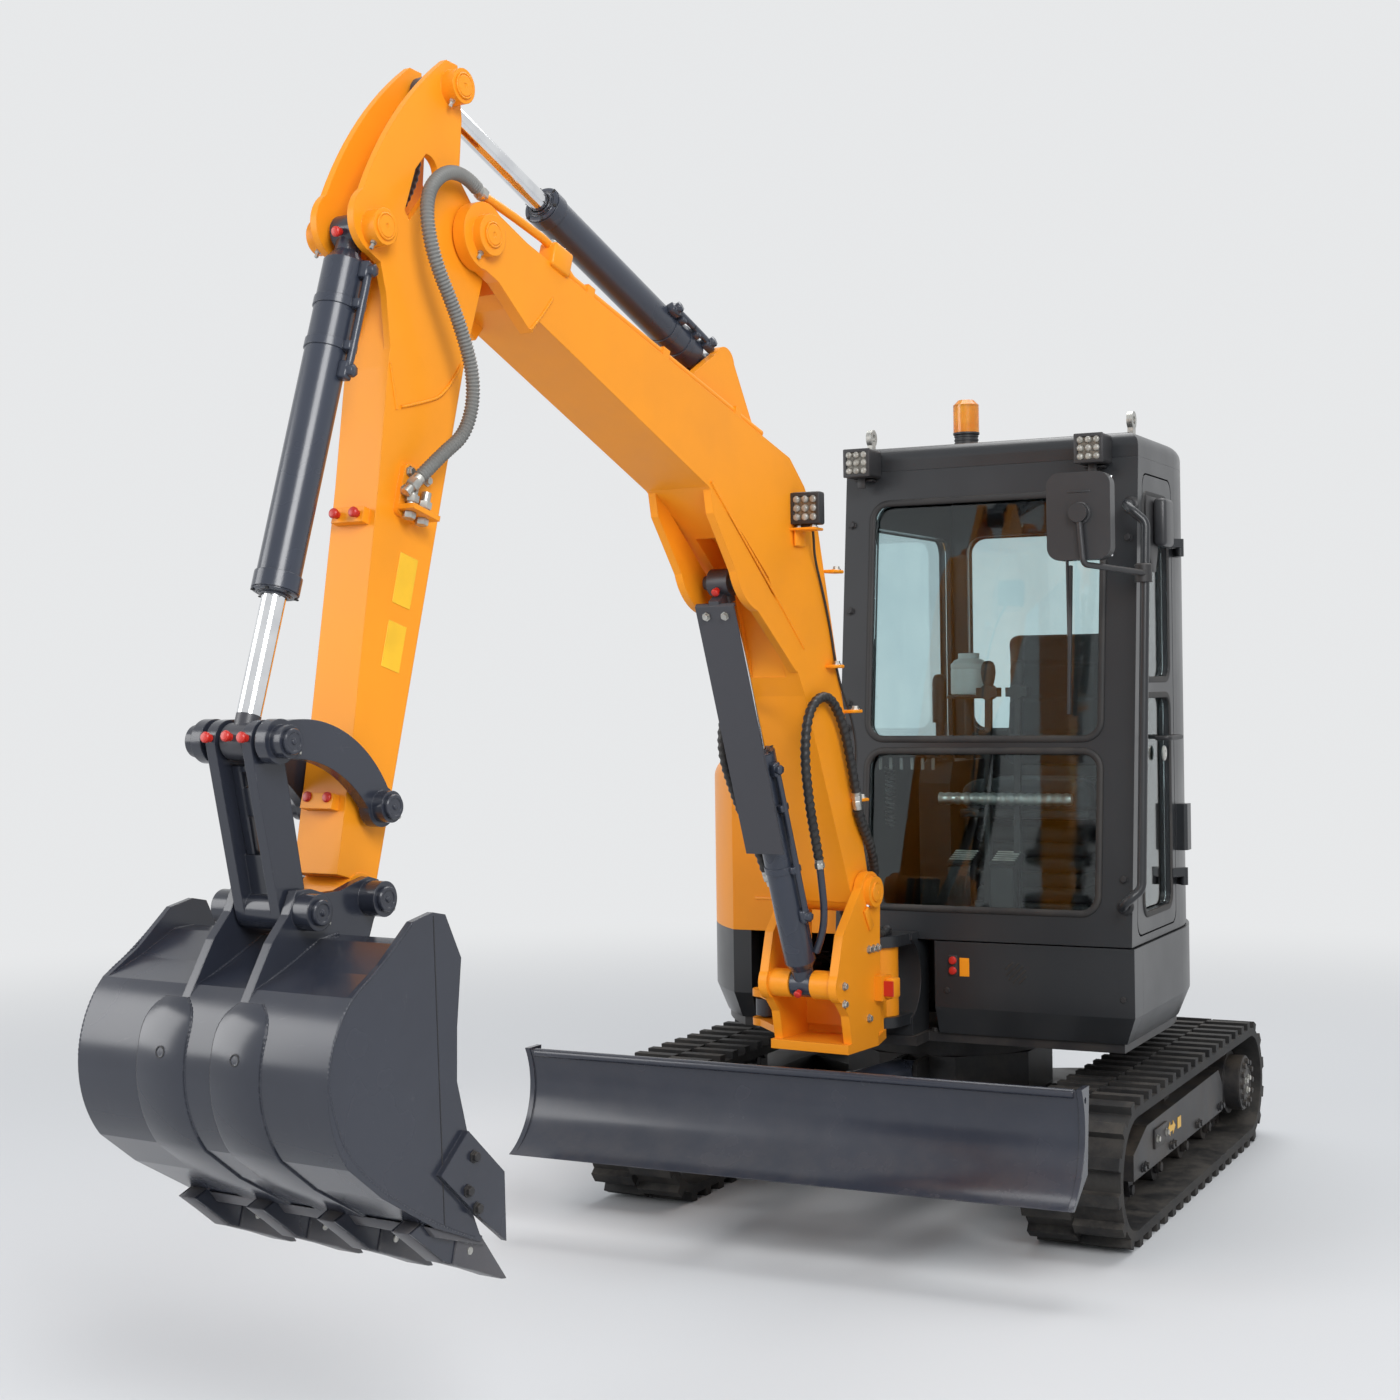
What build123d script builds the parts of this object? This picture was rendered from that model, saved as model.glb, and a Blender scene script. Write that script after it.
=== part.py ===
from build123d import *
from math import atan2, cos, degrees, hypot, pi, radians, sin, sqrt
import os

# Compact crawler excavator with a swing boom, drawn in its parking pose.
# Millimetres. +Z is up, the front faces -Y, the machine's left side is +X.
# The origin lies on the ground under the middle of the whole machine.

os.makedirs("parts", exist_ok=True)

# ---------------------------------------------------------------- driving sizes
slew_y = 1366.0            # slew axis behind the origin
fit = 0.3                  # clearance of seated pieces
run = 5.0                  # clearance of pieces that pass each other

# tracks
track_outer = 870.0        # outer face from the middle of the machine
shoe_width = 296.0
idler_y = -810.0           # from the slew axis
sprocket_y = 727.0
wheel_radius = 166.0       # inner face of the track on its wheels
belt_thickness = 28.0
lug_height = 24.0
lug_width = 38.0
lug_count = 44             # in each of the two staggered rows
track_middle = track_outer - shoe_width / 2
axle_z = wheel_radius + belt_thickness + lug_height
idler_width = 56.0
axle_radius = 24.0
roller_radius = 44.0
roller_stations = (-521.0, -174.0, 173.0, 500.0)
carrier_y = -70.0
carrier_radius = 38.0
frame_half_width = 88.0    # side frame, from the middle of the track
frame_top = 300.0
frame_bottom = 150.0
guard_thickness = 14.0
sprocket_teeth = 15

# slewing parts
ring_radius = 330.0
ring_bottom = 430.0
ring_top = 505.0
deck_bottom = 530.0
deck_top = 560.0
tail_radius = 800.0
body_left = 825.0
body_front = -655.0
right_front = -590.0       # front face right of the boom
body_arc = 760.0           # rounding of the left side towards the tail
body_arc_y = -60.0
skirt_top = 853.0
skirt_wall = 60.0
skirt_taper = 35.0
taper_height = 85.0
front_skirt_right = 190.0

# cab
cab_left = 817.0
cab_right = -147.0
cab_front = -652.0         # at the floor
cab_lean = 5.7             # degrees that the front leans back
cab_floor = 857.0
cab_top = 2350.0
roof_top = 2430.0
cab_back = 430.0
cab_arc = 700.0            # rounding of the left side towards the rear
cab_arc_y = -60.0
step_y = 245.0             # ahead of the engine under the cab's rear
step_z = 1125.0
cab_wall = 42.0
floor_thickness = 30.0
cab_pillars = ((230.0, -500.0), (700.0, -500.0), (690.0, 100.0), (-108.0, 204.0))
mid_bar_z = 1465.0
mid_bar_height = 44.0
glass = 6.0

# boom group: the swing axis and its rest angle, then the pins as
# (distance in front of the swing axis, height)
swing_x = 36.0
swing_y = -765.0
swing_rest = -5.8          # degrees, positive to the left
foot_pin = (276.0, 1043.0)
boom_length = 2431.0       # foot pin to elbow pin
boom_angle = 42.9          # above level
arm_length = 1534.0        # elbow pin to bucket pin
arm_angle = -74.1
bucket_angle = -2.7        # from the bucket pin to the link pin
link_pitch = 202.0         # bucket pin to link pin
# pins on the boom and the arm: along the piece, to its left side
boom_low_pin = (-50.0, -311.0)
boom_top_pin = (1060.0, 253.0)
arm_cyl_pin = (1524.0, 622.0)
arm_head_pin = (-297.0, 155.0)
bucket_cyl_pin = (130.0, 320.0)
guide_pin = (1340.0, 24.0)
knuckle_pin = (1282.0, 358.0)

boom_half = 100.0          # half the boom's width
ear_thickness = 33.0
arm_half = 62.0
head_plate = 18.0
elbow_boss = 122.0         # half the length over the elbow bosses
foot_boss = 150.0
cheek_inner = 103.0
cheek_thickness = 28.0
pin_radius = 25.0
tip_boss = 135.0
knuckle_boss = 132.0
bucket_half = 345.0
bucket_plate = 14.0
ear_inner = 70.0           # between the bucket's hanger ears
ear_plate = 22.0

# swing cylinder: its height, the fixed pin from the slew axis, the ear on the
# bracket as (distance in front of the swing axis, to the left)
swing_cyl_z = 656.0
swing_base = (-520.0, 120.0)
swing_ear = (165.0, -298.0)

# cylinders: barrel radius, rod radius
boom_barrel = (46.0, 25.0)
arm_barrel = (46.0, 25.0)
bucket_barrel = (47.0, 26.0)
blade_barrel = (42.0, 20.0)
swing_barrel = (42.0, 20.0)

# dozer blade
blade_half = 872.0
blade_top = (-1380.0, 557.0)
blade_edge = (-1488.0, 257.0)
blade_pivot = (-560.0, 250.0)
blade_arm_x = 300.0
blade_cyl_base = (-410.0, 396.0)
blade_cyl_end = (-1150.0, 440.0)


# ---------------------------------------------------------------- planes
def plan(z, x=0.0, y=0.0):
    """Level plane at a height, its origin given from the slew axis."""
    return Plane(origin=(x, slew_y + y, z))


def side(x):
    """Upright plane whose local x runs backwards and local y up."""
    return Plane(origin=(x, slew_y, 0), x_dir=(0, 1, 0), z_dir=(1, 0, 0))


def facing(y):
    """Upright plane across the machine that looks forwards."""
    return Plane(origin=(0, slew_y + y, 0), x_dir=(1, 0, 0), z_dir=(0, -1, 0))


turn = radians(swing_rest)
forward = Vector(sin(turn), -cos(turn), 0)
leftward = Vector(cos(turn), sin(turn), 0)
swing_foot = Vector(swing_x, slew_y + swing_y, 0)


def link(pin, angle=0.0, left=0.0):
    """Plane of the boom group with its origin on a pin and its x at an angle.

    Its y is to the left of x as seen from the machine's right.
    """
    a = radians(angle)
    origin = swing_foot + forward * pin[0] + Vector(0, 0, pin[1]) + leftward * left
    return Plane(origin=origin, x_dir=forward * cos(a) + Vector(0, 0, sin(a)), z_dir=leftward * -1)


def along(pin, angle, offset):
    """Pin that lies at an offset (along, to the left) from another pin."""
    a = radians(angle)
    u, v = offset
    return (pin[0] + u * cos(a) - v * sin(a), pin[1] + u * sin(a) + v * cos(a))


def reach(start, end):
    """Length and angle from one pin to another."""
    du, dv = end[0] - start[0], end[1] - start[1]
    return hypot(du, dv), degrees(atan2(dv, du))


elbow = along(foot_pin, boom_angle, (boom_length, 0))
boom_low = along(foot_pin, boom_angle, boom_low_pin)
boom_high = along(foot_pin, boom_angle, boom_top_pin)
arm_base = along(foot_pin, boom_angle, arm_cyl_pin)
arm_head = along(elbow, arm_angle, arm_head_pin)
bucket_base = along(elbow, arm_angle, bucket_cyl_pin)
guide = along(elbow, arm_angle, guide_pin)
knuckle = along(elbow, arm_angle, knuckle_pin)
tip = along(elbow, arm_angle, (arm_length, 0))
hanger = along(tip, bucket_angle, (link_pitch, 0))


def save(piece, name):
    """Label a finished piece and write it as one STEP file."""
    piece.part.label = name
    export_step(piece.part, f"parts/{name}.step")


# ---------------------------------------------------------------- tracks
half_base = (sprocket_y - idler_y) / 2
track_y = (sprocket_y + idler_y) / 2
straight = 2 * half_base


def track_place(s, radius):
    """Point and outward angle at a length s around the loop."""
    arc = pi * radius
    s = s % (2 * straight + 2 * arc)
    if s < straight:
        return (-half_base + s, radius, 90.0)
    s -= straight
    if s < arc:
        a = 90 - degrees(s / radius)
        return (half_base + radius * cos(radians(a)), radius * sin(radians(a)), a)
    s -= arc
    if s < straight:
        return (half_base - s, -radius, -90.0)
    a = -90 - degrees((s - straight) / radius)
    return (-half_base + radius * cos(radians(a)), radius * sin(radians(a)), a)


def lug_row(start, lift):
    """Belt outline with one row of lugs standing on it."""
    belt_radius = wheel_radius + belt_thickness
    length = 2 * straight + 2 * pi * belt_radius
    sink = belt_thickness / 2
    SlotCenterToCenter(straight, 2 * belt_radius)
    for n in range(lug_count):
        u, v, a = track_place((n + start) * length / lug_count, belt_radius)
        middle = (lug_height - sink) / 2
        spot = (u + middle * cos(radians(a)), v + middle * sin(radians(a)))
        with Locations(Location((spot[0], spot[1], 0), (0, 0, a))):
            Rectangle(lug_height + sink, lug_width)
    SlotCenterToCenter(straight, 2 * wheel_radius, mode=Mode.SUBTRACT)


def loop_plane(x):
    return Plane(origin=(x, slew_y + track_y, axle_z), x_dir=(0, 1, 0), z_dir=(1, 0, 0))


with BuildPart() as track:
    # columns: which half of the shoe, phase of its lugs
    for half, phase in ((-1, 0.0), (1, 0.5)):
        with BuildSketch(loop_plane(track_middle + half * shoe_width / 4)):
            lug_row(phase, lug_height)
        extrude(amount=shoe_width / 4, both=True)
save(track, "track_left")
with BuildPart() as other_track:
    add(mirror(track.part, about=Plane.YZ))
save(other_track, "track_right")

# ---------------------------------------------------------------- undercarriage
tab_inner = idler_width / 2 + 4
roller_z = axle_z - wheel_radius + fit + roller_radius
carrier_z = axle_z + wheel_radius - fit - carrier_radius
frame_back = sprocket_y - wheel_radius - 16
leg_end = track_middle - frame_half_width

with BuildPart() as undercarriage:
    with BuildSketch(plan(205)):
        RegularPolygon(ring_radius + 20, 8, rotation=22.5)
    extrude(amount=ring_bottom - 205)
    # legs from the middle box to the side frames
    with BuildSketch(plan(frame_bottom + 20)):
        for sx in (-1, 1):
            for sy in (-1, 1):
                Polygon((sx * 120, sy * 300), (sx * 320, sy * 60), (sx * leg_end, sy * 282),
                        (sx * leg_end, sy * 530), align=None)
        Rectangle(560, 520)
    extrude(amount=frame_top - frame_bottom - 30)
    # lugs that carry the blade arms and the blade cylinder
    for x in (-blade_arm_x, blade_arm_x):
        for edge in (-1, 1):
            with BuildSketch(side(x + edge * 52)):
                with Locations((blade_pivot[0], blade_pivot[1])):
                    Circle(48)
                Polygon((blade_pivot[0] - 10, blade_pivot[1] - 48), (blade_pivot[0] + 10, blade_pivot[1] + 48),
                        (-280, frame_bottom + 110), (-280, frame_bottom + 30), align=None)
            extrude(amount=9, both=True)
        with BuildSketch(side(x)):
            with Locations(blade_pivot):
                Circle(pin_radius)
        extrude(amount=66, both=True)
    # ears and pin of the blade cylinder
    for edge in (-1, 1):
        with BuildSketch(side(edge * 37)):
            with Locations(blade_cyl_base):
                Circle(32)
            Polygon((blade_cyl_base[0], 364), (blade_cyl_base[0], 428), (-290, ring_bottom), (-290, 300), align=None)
        extrude(amount=8, both=True)
    with BuildSketch(side(0)):
        with Locations(blade_cyl_base):
            Circle(pin_radius * 0.8)
    extrude(amount=44, both=True)
save(undercarriage, "undercarriage_frame")

with BuildPart() as side_frames:
    for sx in (-1, 1):
        # box-section side frame
        with BuildSketch(side(sx * track_middle)):
            Polygon((-640, frame_bottom), (frame_back - 20, frame_bottom), (frame_back, frame_bottom + 20),
                    (frame_back, frame_top - 60), (frame_back - 60, frame_top), (-480, frame_top - 10),
                    (-640, frame_top - 70), align=None)
        extrude(amount=frame_half_width, both=True)
        # fork around the idler, and the roller and carrier tabs
        for edge in (-1, 1):
            at = sx * track_middle + edge * (tab_inner + guard_thickness / 2)
            with BuildSketch(side(at)):
                with BuildLine():
                    FilletPolyline((-600, frame_bottom + 5), (idler_y, axle_z - 52), (idler_y - 60, axle_z - 30),
                                   (idler_y - 60, axle_z + 30), (idler_y, axle_z + 52),
                                   (-600, frame_top - 60), radius=20, close=True)
                make_face()
                for y in roller_stations:
                    with Locations((y, (frame_bottom + roller_z) / 2)):
                        Trapezoid(90, frame_bottom - roller_z + 40, 70, rotation=180)
                with Locations((carrier_y, (frame_top + carrier_z) / 2)):
                    Rectangle(60, carrier_z - frame_top + 40)
            extrude(amount=guard_thickness / 2, both=True)
        # plate that carries the travel motor
        with BuildSketch(side(sx * (track_middle - 60))):
            with Locations((sprocket_y, axle_z)):
                Circle(112)
            Polygon((frame_back - 80, frame_bottom + 20), (sprocket_y, axle_z - 112), (sprocket_y, axle_z + 112),
                    (frame_back - 80, frame_top - 20), align=None)
        extrude(amount=10, both=True)
    # holes for axles
    with BuildSketch(side(0)):
        with Locations((idler_y, axle_z)):
            Circle(axle_radius + fit)
        for y in roller_stations:
            with Locations((y, roller_z)):
                Circle(16 + fit)
        with Locations((carrier_y, carrier_z)):
            Circle(14 + fit)
    extrude(amount=track_outer, both=True, mode=Mode.SUBTRACT)
save(side_frames, "side_frames")

with BuildPart() as idlers:
    for sx in (-1, 1):
        with BuildSketch(side(sx * track_middle)):
            with Locations((idler_y, axle_z)):
                Circle(wheel_radius - fit)
        extrude(amount=idler_width / 2, both=True)
        with BuildSketch(side(sx * track_middle)):
            with Locations((idler_y, axle_z)):
                Circle(axle_radius)
        extrude(amount=tab_inner + guard_thickness + 6, both=True)
save(idlers, "front_idlers")

with BuildPart() as sprockets:
    for sx in (-1, 1):
        with BuildSketch(side(sx * (track_middle - 2))) as wheel:
            with Locations((sprocket_y, axle_z)):
                Circle(wheel_radius - 20)
                with PolarLocations(wheel_radius - 20, sprocket_teeth):
                    Rectangle(38, 34)
                Circle(112 + fit, mode=Mode.SUBTRACT)
        extrude(amount=20, both=True)
save(sprockets, "drive_sprockets")

with BuildPart() as motors:
    for sx in (-1, 1):
        with BuildSketch(side(sx * (track_middle - 48))):
            with Locations((sprocket_y, axle_z)):
                Circle(112)
        extrude(amount=sx * 120)
        with BuildSketch(side(sx * (track_middle + 72))):
            with Locations((sprocket_y, axle_z)):
                Circle(97)
        extrude(amount=sx * 51)
save(motors, "travel_motors")

with BuildPart() as rollers:
    # columns: station, height of the axle, radius, shaft radius
    rows = [(y, roller_z, roller_radius, 16) for y in roller_stations]
    rows.append((carrier_y, carrier_z, carrier_radius, 14))
    for sx in (-1, 1):
        for y, z, radius, shaft in rows:
            with BuildSketch(side(sx * track_middle)):
                with Locations((y, z)):
                    Circle(radius)
            extrude(amount=tab_inner - 2, both=True)
            with BuildSketch(side(sx * track_middle)):
                with Locations((y, z)):
                    Circle(shaft)
            extrude(amount=tab_inner + guard_thickness + 8, both=True)
save(rollers, "track_rollers")

with BuildPart() as ring:
    with BuildSketch(plan(ring_bottom)):
        Circle(ring_radius)
        Circle(ring_radius - 80, mode=Mode.SUBTRACT)
    extrude(amount=ring_top - ring_bottom)
save(ring, "slew_ring")

# ---------------------------------------------------------------- dozer blade
with BuildPart() as blade:
    top, edge = blade_top, blade_edge
    with BuildSketch(side(0)):
        with BuildLine():
            face = ThreePointArc(top, (top[0] + 22, 400), edge)
            Polyline(face @ 1, (edge[0] + 16, edge[1] - 3), (edge[0] + 60, edge[1] + 8))
            back = ThreePointArc((edge[0] + 60, edge[1] + 8), (top[0] + 44, 400), (top[0] + 22, top[1]))
            Line(back @ 1, top)
        make_face()
    extrude(amount=blade_half - 16, both=True)
    for sx in (-1, 1):
        with BuildSketch(side(sx * (blade_half - 8))):
            with BuildLine():
                Polyline((top[0] - 6, top[1] + 6), (top[0] + 66, top[1] + 6), (edge[0] + 150, edge[1] + 70),
                         (edge[0] + 24, edge[1] - 4), (edge[0], edge[1]))
                ThreePointArc((edge[0], edge[1]), (top[0] + 16, 400), (top[0] - 6, top[1] + 6))
            make_face()
            with Locations((top[0] + 28, top[1] - 28)):
                Circle(9, mode=Mode.SUBTRACT)
        extrude(amount=8, both=True)
save(blade, "dozer_blade")

# arms and the cross tube between them, set against the back of the blade
with BuildPart() as blade_arms:
    for x in (-blade_arm_x, blade_arm_x):
        with BuildSketch(side(x)):
            with Locations(blade_pivot):
                Circle(44)
            Polygon((blade_pivot[0], blade_pivot[1] - 44), (blade_pivot[0], blade_pivot[1] + 44),
                    (top[0] + 40, 430), (top[0] + 10, 320), align=None)
        extrude(amount=38, both=True)
    with BuildSketch(side(0)):
        with Locations((-1150, 352)):
            Circle(44)
    extrude(amount=blade_arm_x, both=True)
    with BuildSketch(side(0)):
        with Locations(blade_pivot):
            Circle(pin_radius + fit)
    extrude(amount=blade_half, both=True, mode=Mode.SUBTRACT)
    for edge_x in (-1, 1):
        with BuildSketch(side(edge_x * 46)):
            with Locations(blade_cyl_end):
                Circle(34)
                Circle(pin_radius * 0.8 + fit, mode=Mode.SUBTRACT)
            Polygon((-1192, 352), (-1184, 420), (-1116, 420), (-1108, 352), align=None)
        extrude(amount=8, both=True)
    add(blade.part, mode=Mode.SUBTRACT)
save(blade_arms, "blade_arms")


def cylinder(name, base, end, barrel_end, stroke_in, sizes, plane, eye=38.0, eye_half=30.0, pin_half=33.0):
    """Barrel and rod of one hydraulic cylinder, drawn between two pins.

    plane gives the working plane at a pin and an angle. stroke_in is how far
    the rod still retracts. The rod's eye holds its own pin between the ears.
    """
    barrel_radius, rod_radius = sizes
    length, angle = reach(base, end)
    neck = eye + 14
    shoulder = neck + 26
    gland = 36.0
    start = plane(base, angle)
    axis = Plane(start.origin, x_dir=start.z_dir, z_dir=start.x_dir)
    with BuildPart() as barrel:
        with BuildSketch(start):
            Circle(eye)
        extrude(amount=eye_half, both=True)
        with BuildSketch(axis.offset(eye * 0.5)):
            Circle(eye_half - 1)
        extrude(amount=neck - eye * 0.5)
        with BuildSketch(axis.offset(neck)):
            Circle(eye_half - 1)
        with BuildSketch(axis.offset(shoulder)):
            Circle(barrel_radius)
        loft()
        with BuildSketch(axis.offset(shoulder)):
            Circle(barrel_radius)
        extrude(amount=barrel_end - shoulder)
        with BuildSketch(axis.offset(barrel_end - gland)):
            Circle(barrel_radius + 4)
        extrude(amount=gland)
        with BuildSketch(axis.offset(shoulder)):
            Circle(rod_radius + fit)
        extrude(amount=length, mode=Mode.SUBTRACT)
        with BuildSketch(start):
            Circle(pin_radius * 0.8 + fit)
        extrude(amount=eye_half * 2, both=True, mode=Mode.SUBTRACT)
    save(barrel, f"{name}_barrel")
    with BuildPart() as rod:
        with BuildSketch(axis.offset(shoulder + stroke_in + run)):
            Circle(rod_radius)
        extrude(amount=length - shoulder - stroke_in - run)
        with BuildSketch(plane(end, angle)):
            Circle(eye)
        extrude(amount=eye_half, both=True)
        with BuildSketch(plane(end, angle)):
            Circle(pin_radius * 0.8)
        extrude(amount=pin_half, both=True)
    return rod, angle


def blade_plane(pin, angle=0.0, left=0.0):
    a = radians(angle)
    return Plane(origin=(left, slew_y + pin[0], pin[1]), x_dir=(0, cos(a), sin(a)), z_dir=(1, 0, 0))


rod, angle = cylinder("blade_cylinder", blade_cyl_base, blade_cyl_end, 520, 25, blade_barrel,
                      blade_plane, eye=30, eye_half=26, pin_half=34)
save(rod, "blade_cylinder_rod")

# ---------------------------------------------------------------- revolving frame


def rounded_side(right, left, front, radius, arc_y):
    """Plan with a square front and a left side that rounds in to the tail."""
    middle = left - radius
    reach_45 = radius * cos(pi / 4)
    with BuildSketch() as outline:
        with BuildLine():
            Polyline((middle, arc_y + radius), (right, arc_y + radius), (right, front), (left, front), (left, arc_y))
            ThreePointArc((left, arc_y), (middle + reach_45, arc_y + reach_45), (middle, arc_y + radius))
        make_face()
    return outline.sketch


def body_plan(inset=0.0):
    """Plan of the upper body: a round tail and a square front-left corner."""
    with BuildSketch() as outline:
        Circle(tail_radius - inset)
        # ahead of the right front face nothing stands
        with Locations((-tail_radius, right_front + inset - tail_radius)):
            Rectangle(4 * tail_radius, 2 * tail_radius, mode=Mode.SUBTRACT)
        add(rounded_side(front_skirt_right - inset, body_left - inset, body_front + inset,
                         body_arc - inset, body_arc_y))
    return outline.sketch


with BuildPart() as deck:
    with BuildSketch(plan(deck_bottom)):
        add(body_plan(45))
        with Locations((swing_x, -650)):
            Rectangle(230, 140)
        Circle(ring_radius - 100, mode=Mode.SUBTRACT)
    extrude(amount=deck_top - deck_bottom)
    with BuildSketch(plan(ring_top + fit)):
        Circle(ring_radius - 20)
        Circle(ring_radius - 100, mode=Mode.SUBTRACT)
    extrude(amount=deck_bottom - ring_top - fit)
    # pillars under the cab's floor
    with BuildSketch(plan(deck_bottom)):
        with Locations(*cab_pillars):
            Circle(38)
    extrude(amount=cab_floor - fit - deck_bottom)
    # post and pin that hold the swing cylinder
    for radius, top in ((48, swing_cyl_z - 26 - fit), (pin_radius * 0.8, swing_cyl_z + 40)):
        with BuildSketch(plan(deck_bottom)):
            with Locations(swing_base):
                Circle(radius)
        extrude(amount=top - deck_bottom)
save(deck, "revolving_frame")

lug_radius = 85.0
post_bottom, post_top, lug_thickness = 596.0, 880.0, 34.0
post_half = 100.0
post_front = -712.0
with BuildPart() as post:
    with BuildSketch(side(swing_x)):
        Polygon((-565, deck_top), (-565, 850), (cab_front - run, 850), (cab_front - run, post_top),
                (post_front, post_top), (post_front, deck_top), align=None)
    extrude(amount=post_half, both=True)
    for z in (post_bottom, post_top - lug_thickness):
        with BuildSketch(plan(z)):
            with Locations((swing_x, swing_y)):
                Circle(lug_radius)
            Polygon((swing_x - lug_radius, swing_y), (swing_x + lug_radius, swing_y),
                    (swing_x + post_half, -660), (swing_x - post_half, -660), align=None)
        extrude(amount=lug_thickness)
    with BuildSketch(side(swing_x)):
        with Locations((swing_y, (post_bottom + post_top) / 2)):
            Circle(132)
    extrude(amount=200, both=True, mode=Mode.SUBTRACT)
    for z in (post_bottom, post_top - lug_thickness):
        with BuildSketch(plan(z)):
            with Locations((swing_x, swing_y)):
                Circle(lug_radius)
            Polygon((swing_x - lug_radius, swing_y), (swing_x + lug_radius, swing_y),
                    (swing_x + post_half, -660), (swing_x - post_half, -660), align=None)
        extrude(amount=lug_thickness)
    with BuildSketch(plan(post_bottom + lug_thickness)):
        with Locations((swing_x, swing_y)):
            Circle(35 - fit)
    extrude(amount=post_top - post_bottom - 2 * lug_thickness)
save(post, "swing_post")

# skirts: one tapered ring, cut into the real panels
with BuildPart() as skirts:
    with BuildSketch(plan(deck_top + taper_height)):
        add(body_plan())
    extrude(amount=skirt_top - deck_top - taper_height)
    with BuildSketch(plan(deck_top)):
        add(body_plan(skirt_taper))
    with BuildSketch(plan(deck_top + taper_height)):
        add(body_plan())
    loft()
    with BuildSketch(plan(deck_top)):
        add(body_plan(skirt_wall))
    extrude(amount=skirt_top - deck_top, mode=Mode.SUBTRACT)

# columns: name, then each plan box that keeps a panel, corner to corner
panels = (
    ("front_skirt", ((front_skirt_right, -700.0), (900.0, -560.0))),
    ("side_skirts", ((600.0, -559.7), (900.0, 150.0)), ((-900.0, -620.0), (-475.0, 150.0))),
    ("counterweight", ((-900.0, 150.3), (900.0, 900.0))),
)
for name, *boxes in panels:
    with BuildPart() as panel:
        add(skirts.part)
        with BuildSketch(plan(deck_top - 1)):
            for low, high in boxes:
                with Locations(((low[0] + high[0]) / 2, (low[1] + high[1]) / 2)):
                    Rectangle(high[0] - low[0], high[1] - low[1])
        extrude(amount=skirt_top - deck_top + 2, mode=Mode.INTERSECT)
    save(panel, name)

# hood on the right side, a shell open below
hood_top = 1420.0
hood_wall = 12.0


def hood_plan(inset=0.0):
    with BuildSketch() as outline:
        Circle(tail_radius - inset)
        with Locations((900 + cab_right - 8 - inset, 0)):
            Rectangle(1800, 2000, mode=Mode.SUBTRACT)
        with Locations((-500, right_front + inset - 500)):
            Rectangle(2000, 1000, mode=Mode.SUBTRACT)
    return outline.sketch


with BuildPart() as hood:
    with BuildSketch(plan(skirt_top + fit)):
        add(hood_plan())
    extrude(amount=hood_top - skirt_top)
    top_edges = hood.edges().group_by(Axis.Z)[-1]
    fillet(top_edges, radius=70)
    with BuildSketch(plan(skirt_top)):
        add(hood_plan(hood_wall))
    extrude(amount=hood_top - skirt_top - 60, mode=Mode.SUBTRACT)
    with BuildSketch(plan(skirt_top)):
        with Locations((0, 1000 + cab_back)):
            Rectangle(2400, 2000)
    extrude(amount=700, mode=Mode.SUBTRACT)
save(hood, "side_hood")

rear_top = 1250.0


def tail_plan(inset=0.0):
    with BuildSketch() as outline:
        Circle(tail_radius - inset)
        with Locations((0, cab_back + 12 + inset - 1000)):
            Rectangle(2400, 2000, mode=Mode.SUBTRACT)
    return outline.sketch


with BuildPart() as rear_hood:
    with BuildSketch(plan(skirt_top + fit)):
        add(tail_plan())
    extrude(amount=rear_top - skirt_top)
    fillet(rear_hood.edges().group_by(Axis.Z)[-1].sort_by(Axis.Y)[-1], radius=50)
    with BuildSketch(plan(skirt_top)):
        add(tail_plan(hood_wall))
    extrude(amount=rear_top - skirt_top - 45, mode=Mode.SUBTRACT)
    with BuildSketch(plan(skirt_top)):
        with Locations((0, cab_back)):
            Rectangle(1200, 80)
    extrude(amount=rear_top - skirt_top - 45, mode=Mode.SUBTRACT)
    for x in (-250, 250):
        with BuildSketch(side(x)):
            with Locations((446, 1247)):
                Circle(9)
        extrude(amount=32, both=True)
save(rear_hood, "rear_hood")

with BuildPart() as engine:
    with BuildSketch(plan(deck_top)):
        with Locations((190, 422)):
            Rectangle(500, 325)
    extrude(amount=540)
save(engine, "engine_block")


# ---------------------------------------------------------------- cab
def cab_plan(inset=0.0):
    with BuildSketch() as outline:
        add(rounded_side(cab_right + inset, cab_left - inset, cab_front + inset, cab_arc - inset, cab_arc_y))
        with Locations((0, cab_back - inset + 1000)):
            Rectangle(2400, 2000, mode=Mode.SUBTRACT)
    return outline.sketch


lean = radians(cab_lean)
cab_height = cab_top - cab_floor


def front_y(z, inset=0.0):
    """Front face of the cab at a height."""
    return cab_front + inset + (z - cab_floor) * sin(lean) / cos(lean)


def front_plane(inset=0.0):
    """Leaning plane of the cab's front, its y running up the face."""
    return Plane(origin=(0, slew_y + cab_front + inset, cab_floor), x_dir=(1, 0, 0),
                 z_dir=(0, -cos(lean), sin(lean)))


window = dict(left=705.0, right=-45.0, sill=100.0, head=1392.0)
door_front_low, door_front_high, door_back = -585.0, -455.0, -112.0
door_low, door_high = 885.0, 2300.0
hinge_x, hinge_y = 845.0, -108.0
hinge_heights = (1000.0, 2060.0)
hinge_leaf = 28.0
door_gap = 5.0


def door_outline(grow=0.0):
    with BuildSketch() as outline:
        with BuildLine():
            FilletPolyline((door_front_low - grow, door_low - grow), (door_back + grow, door_low - grow),
                           (door_back + grow, door_high + grow), (door_front_high - grow, door_high + grow),
                           radius=45, close=True)
        make_face()
    return outline.sketch


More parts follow.
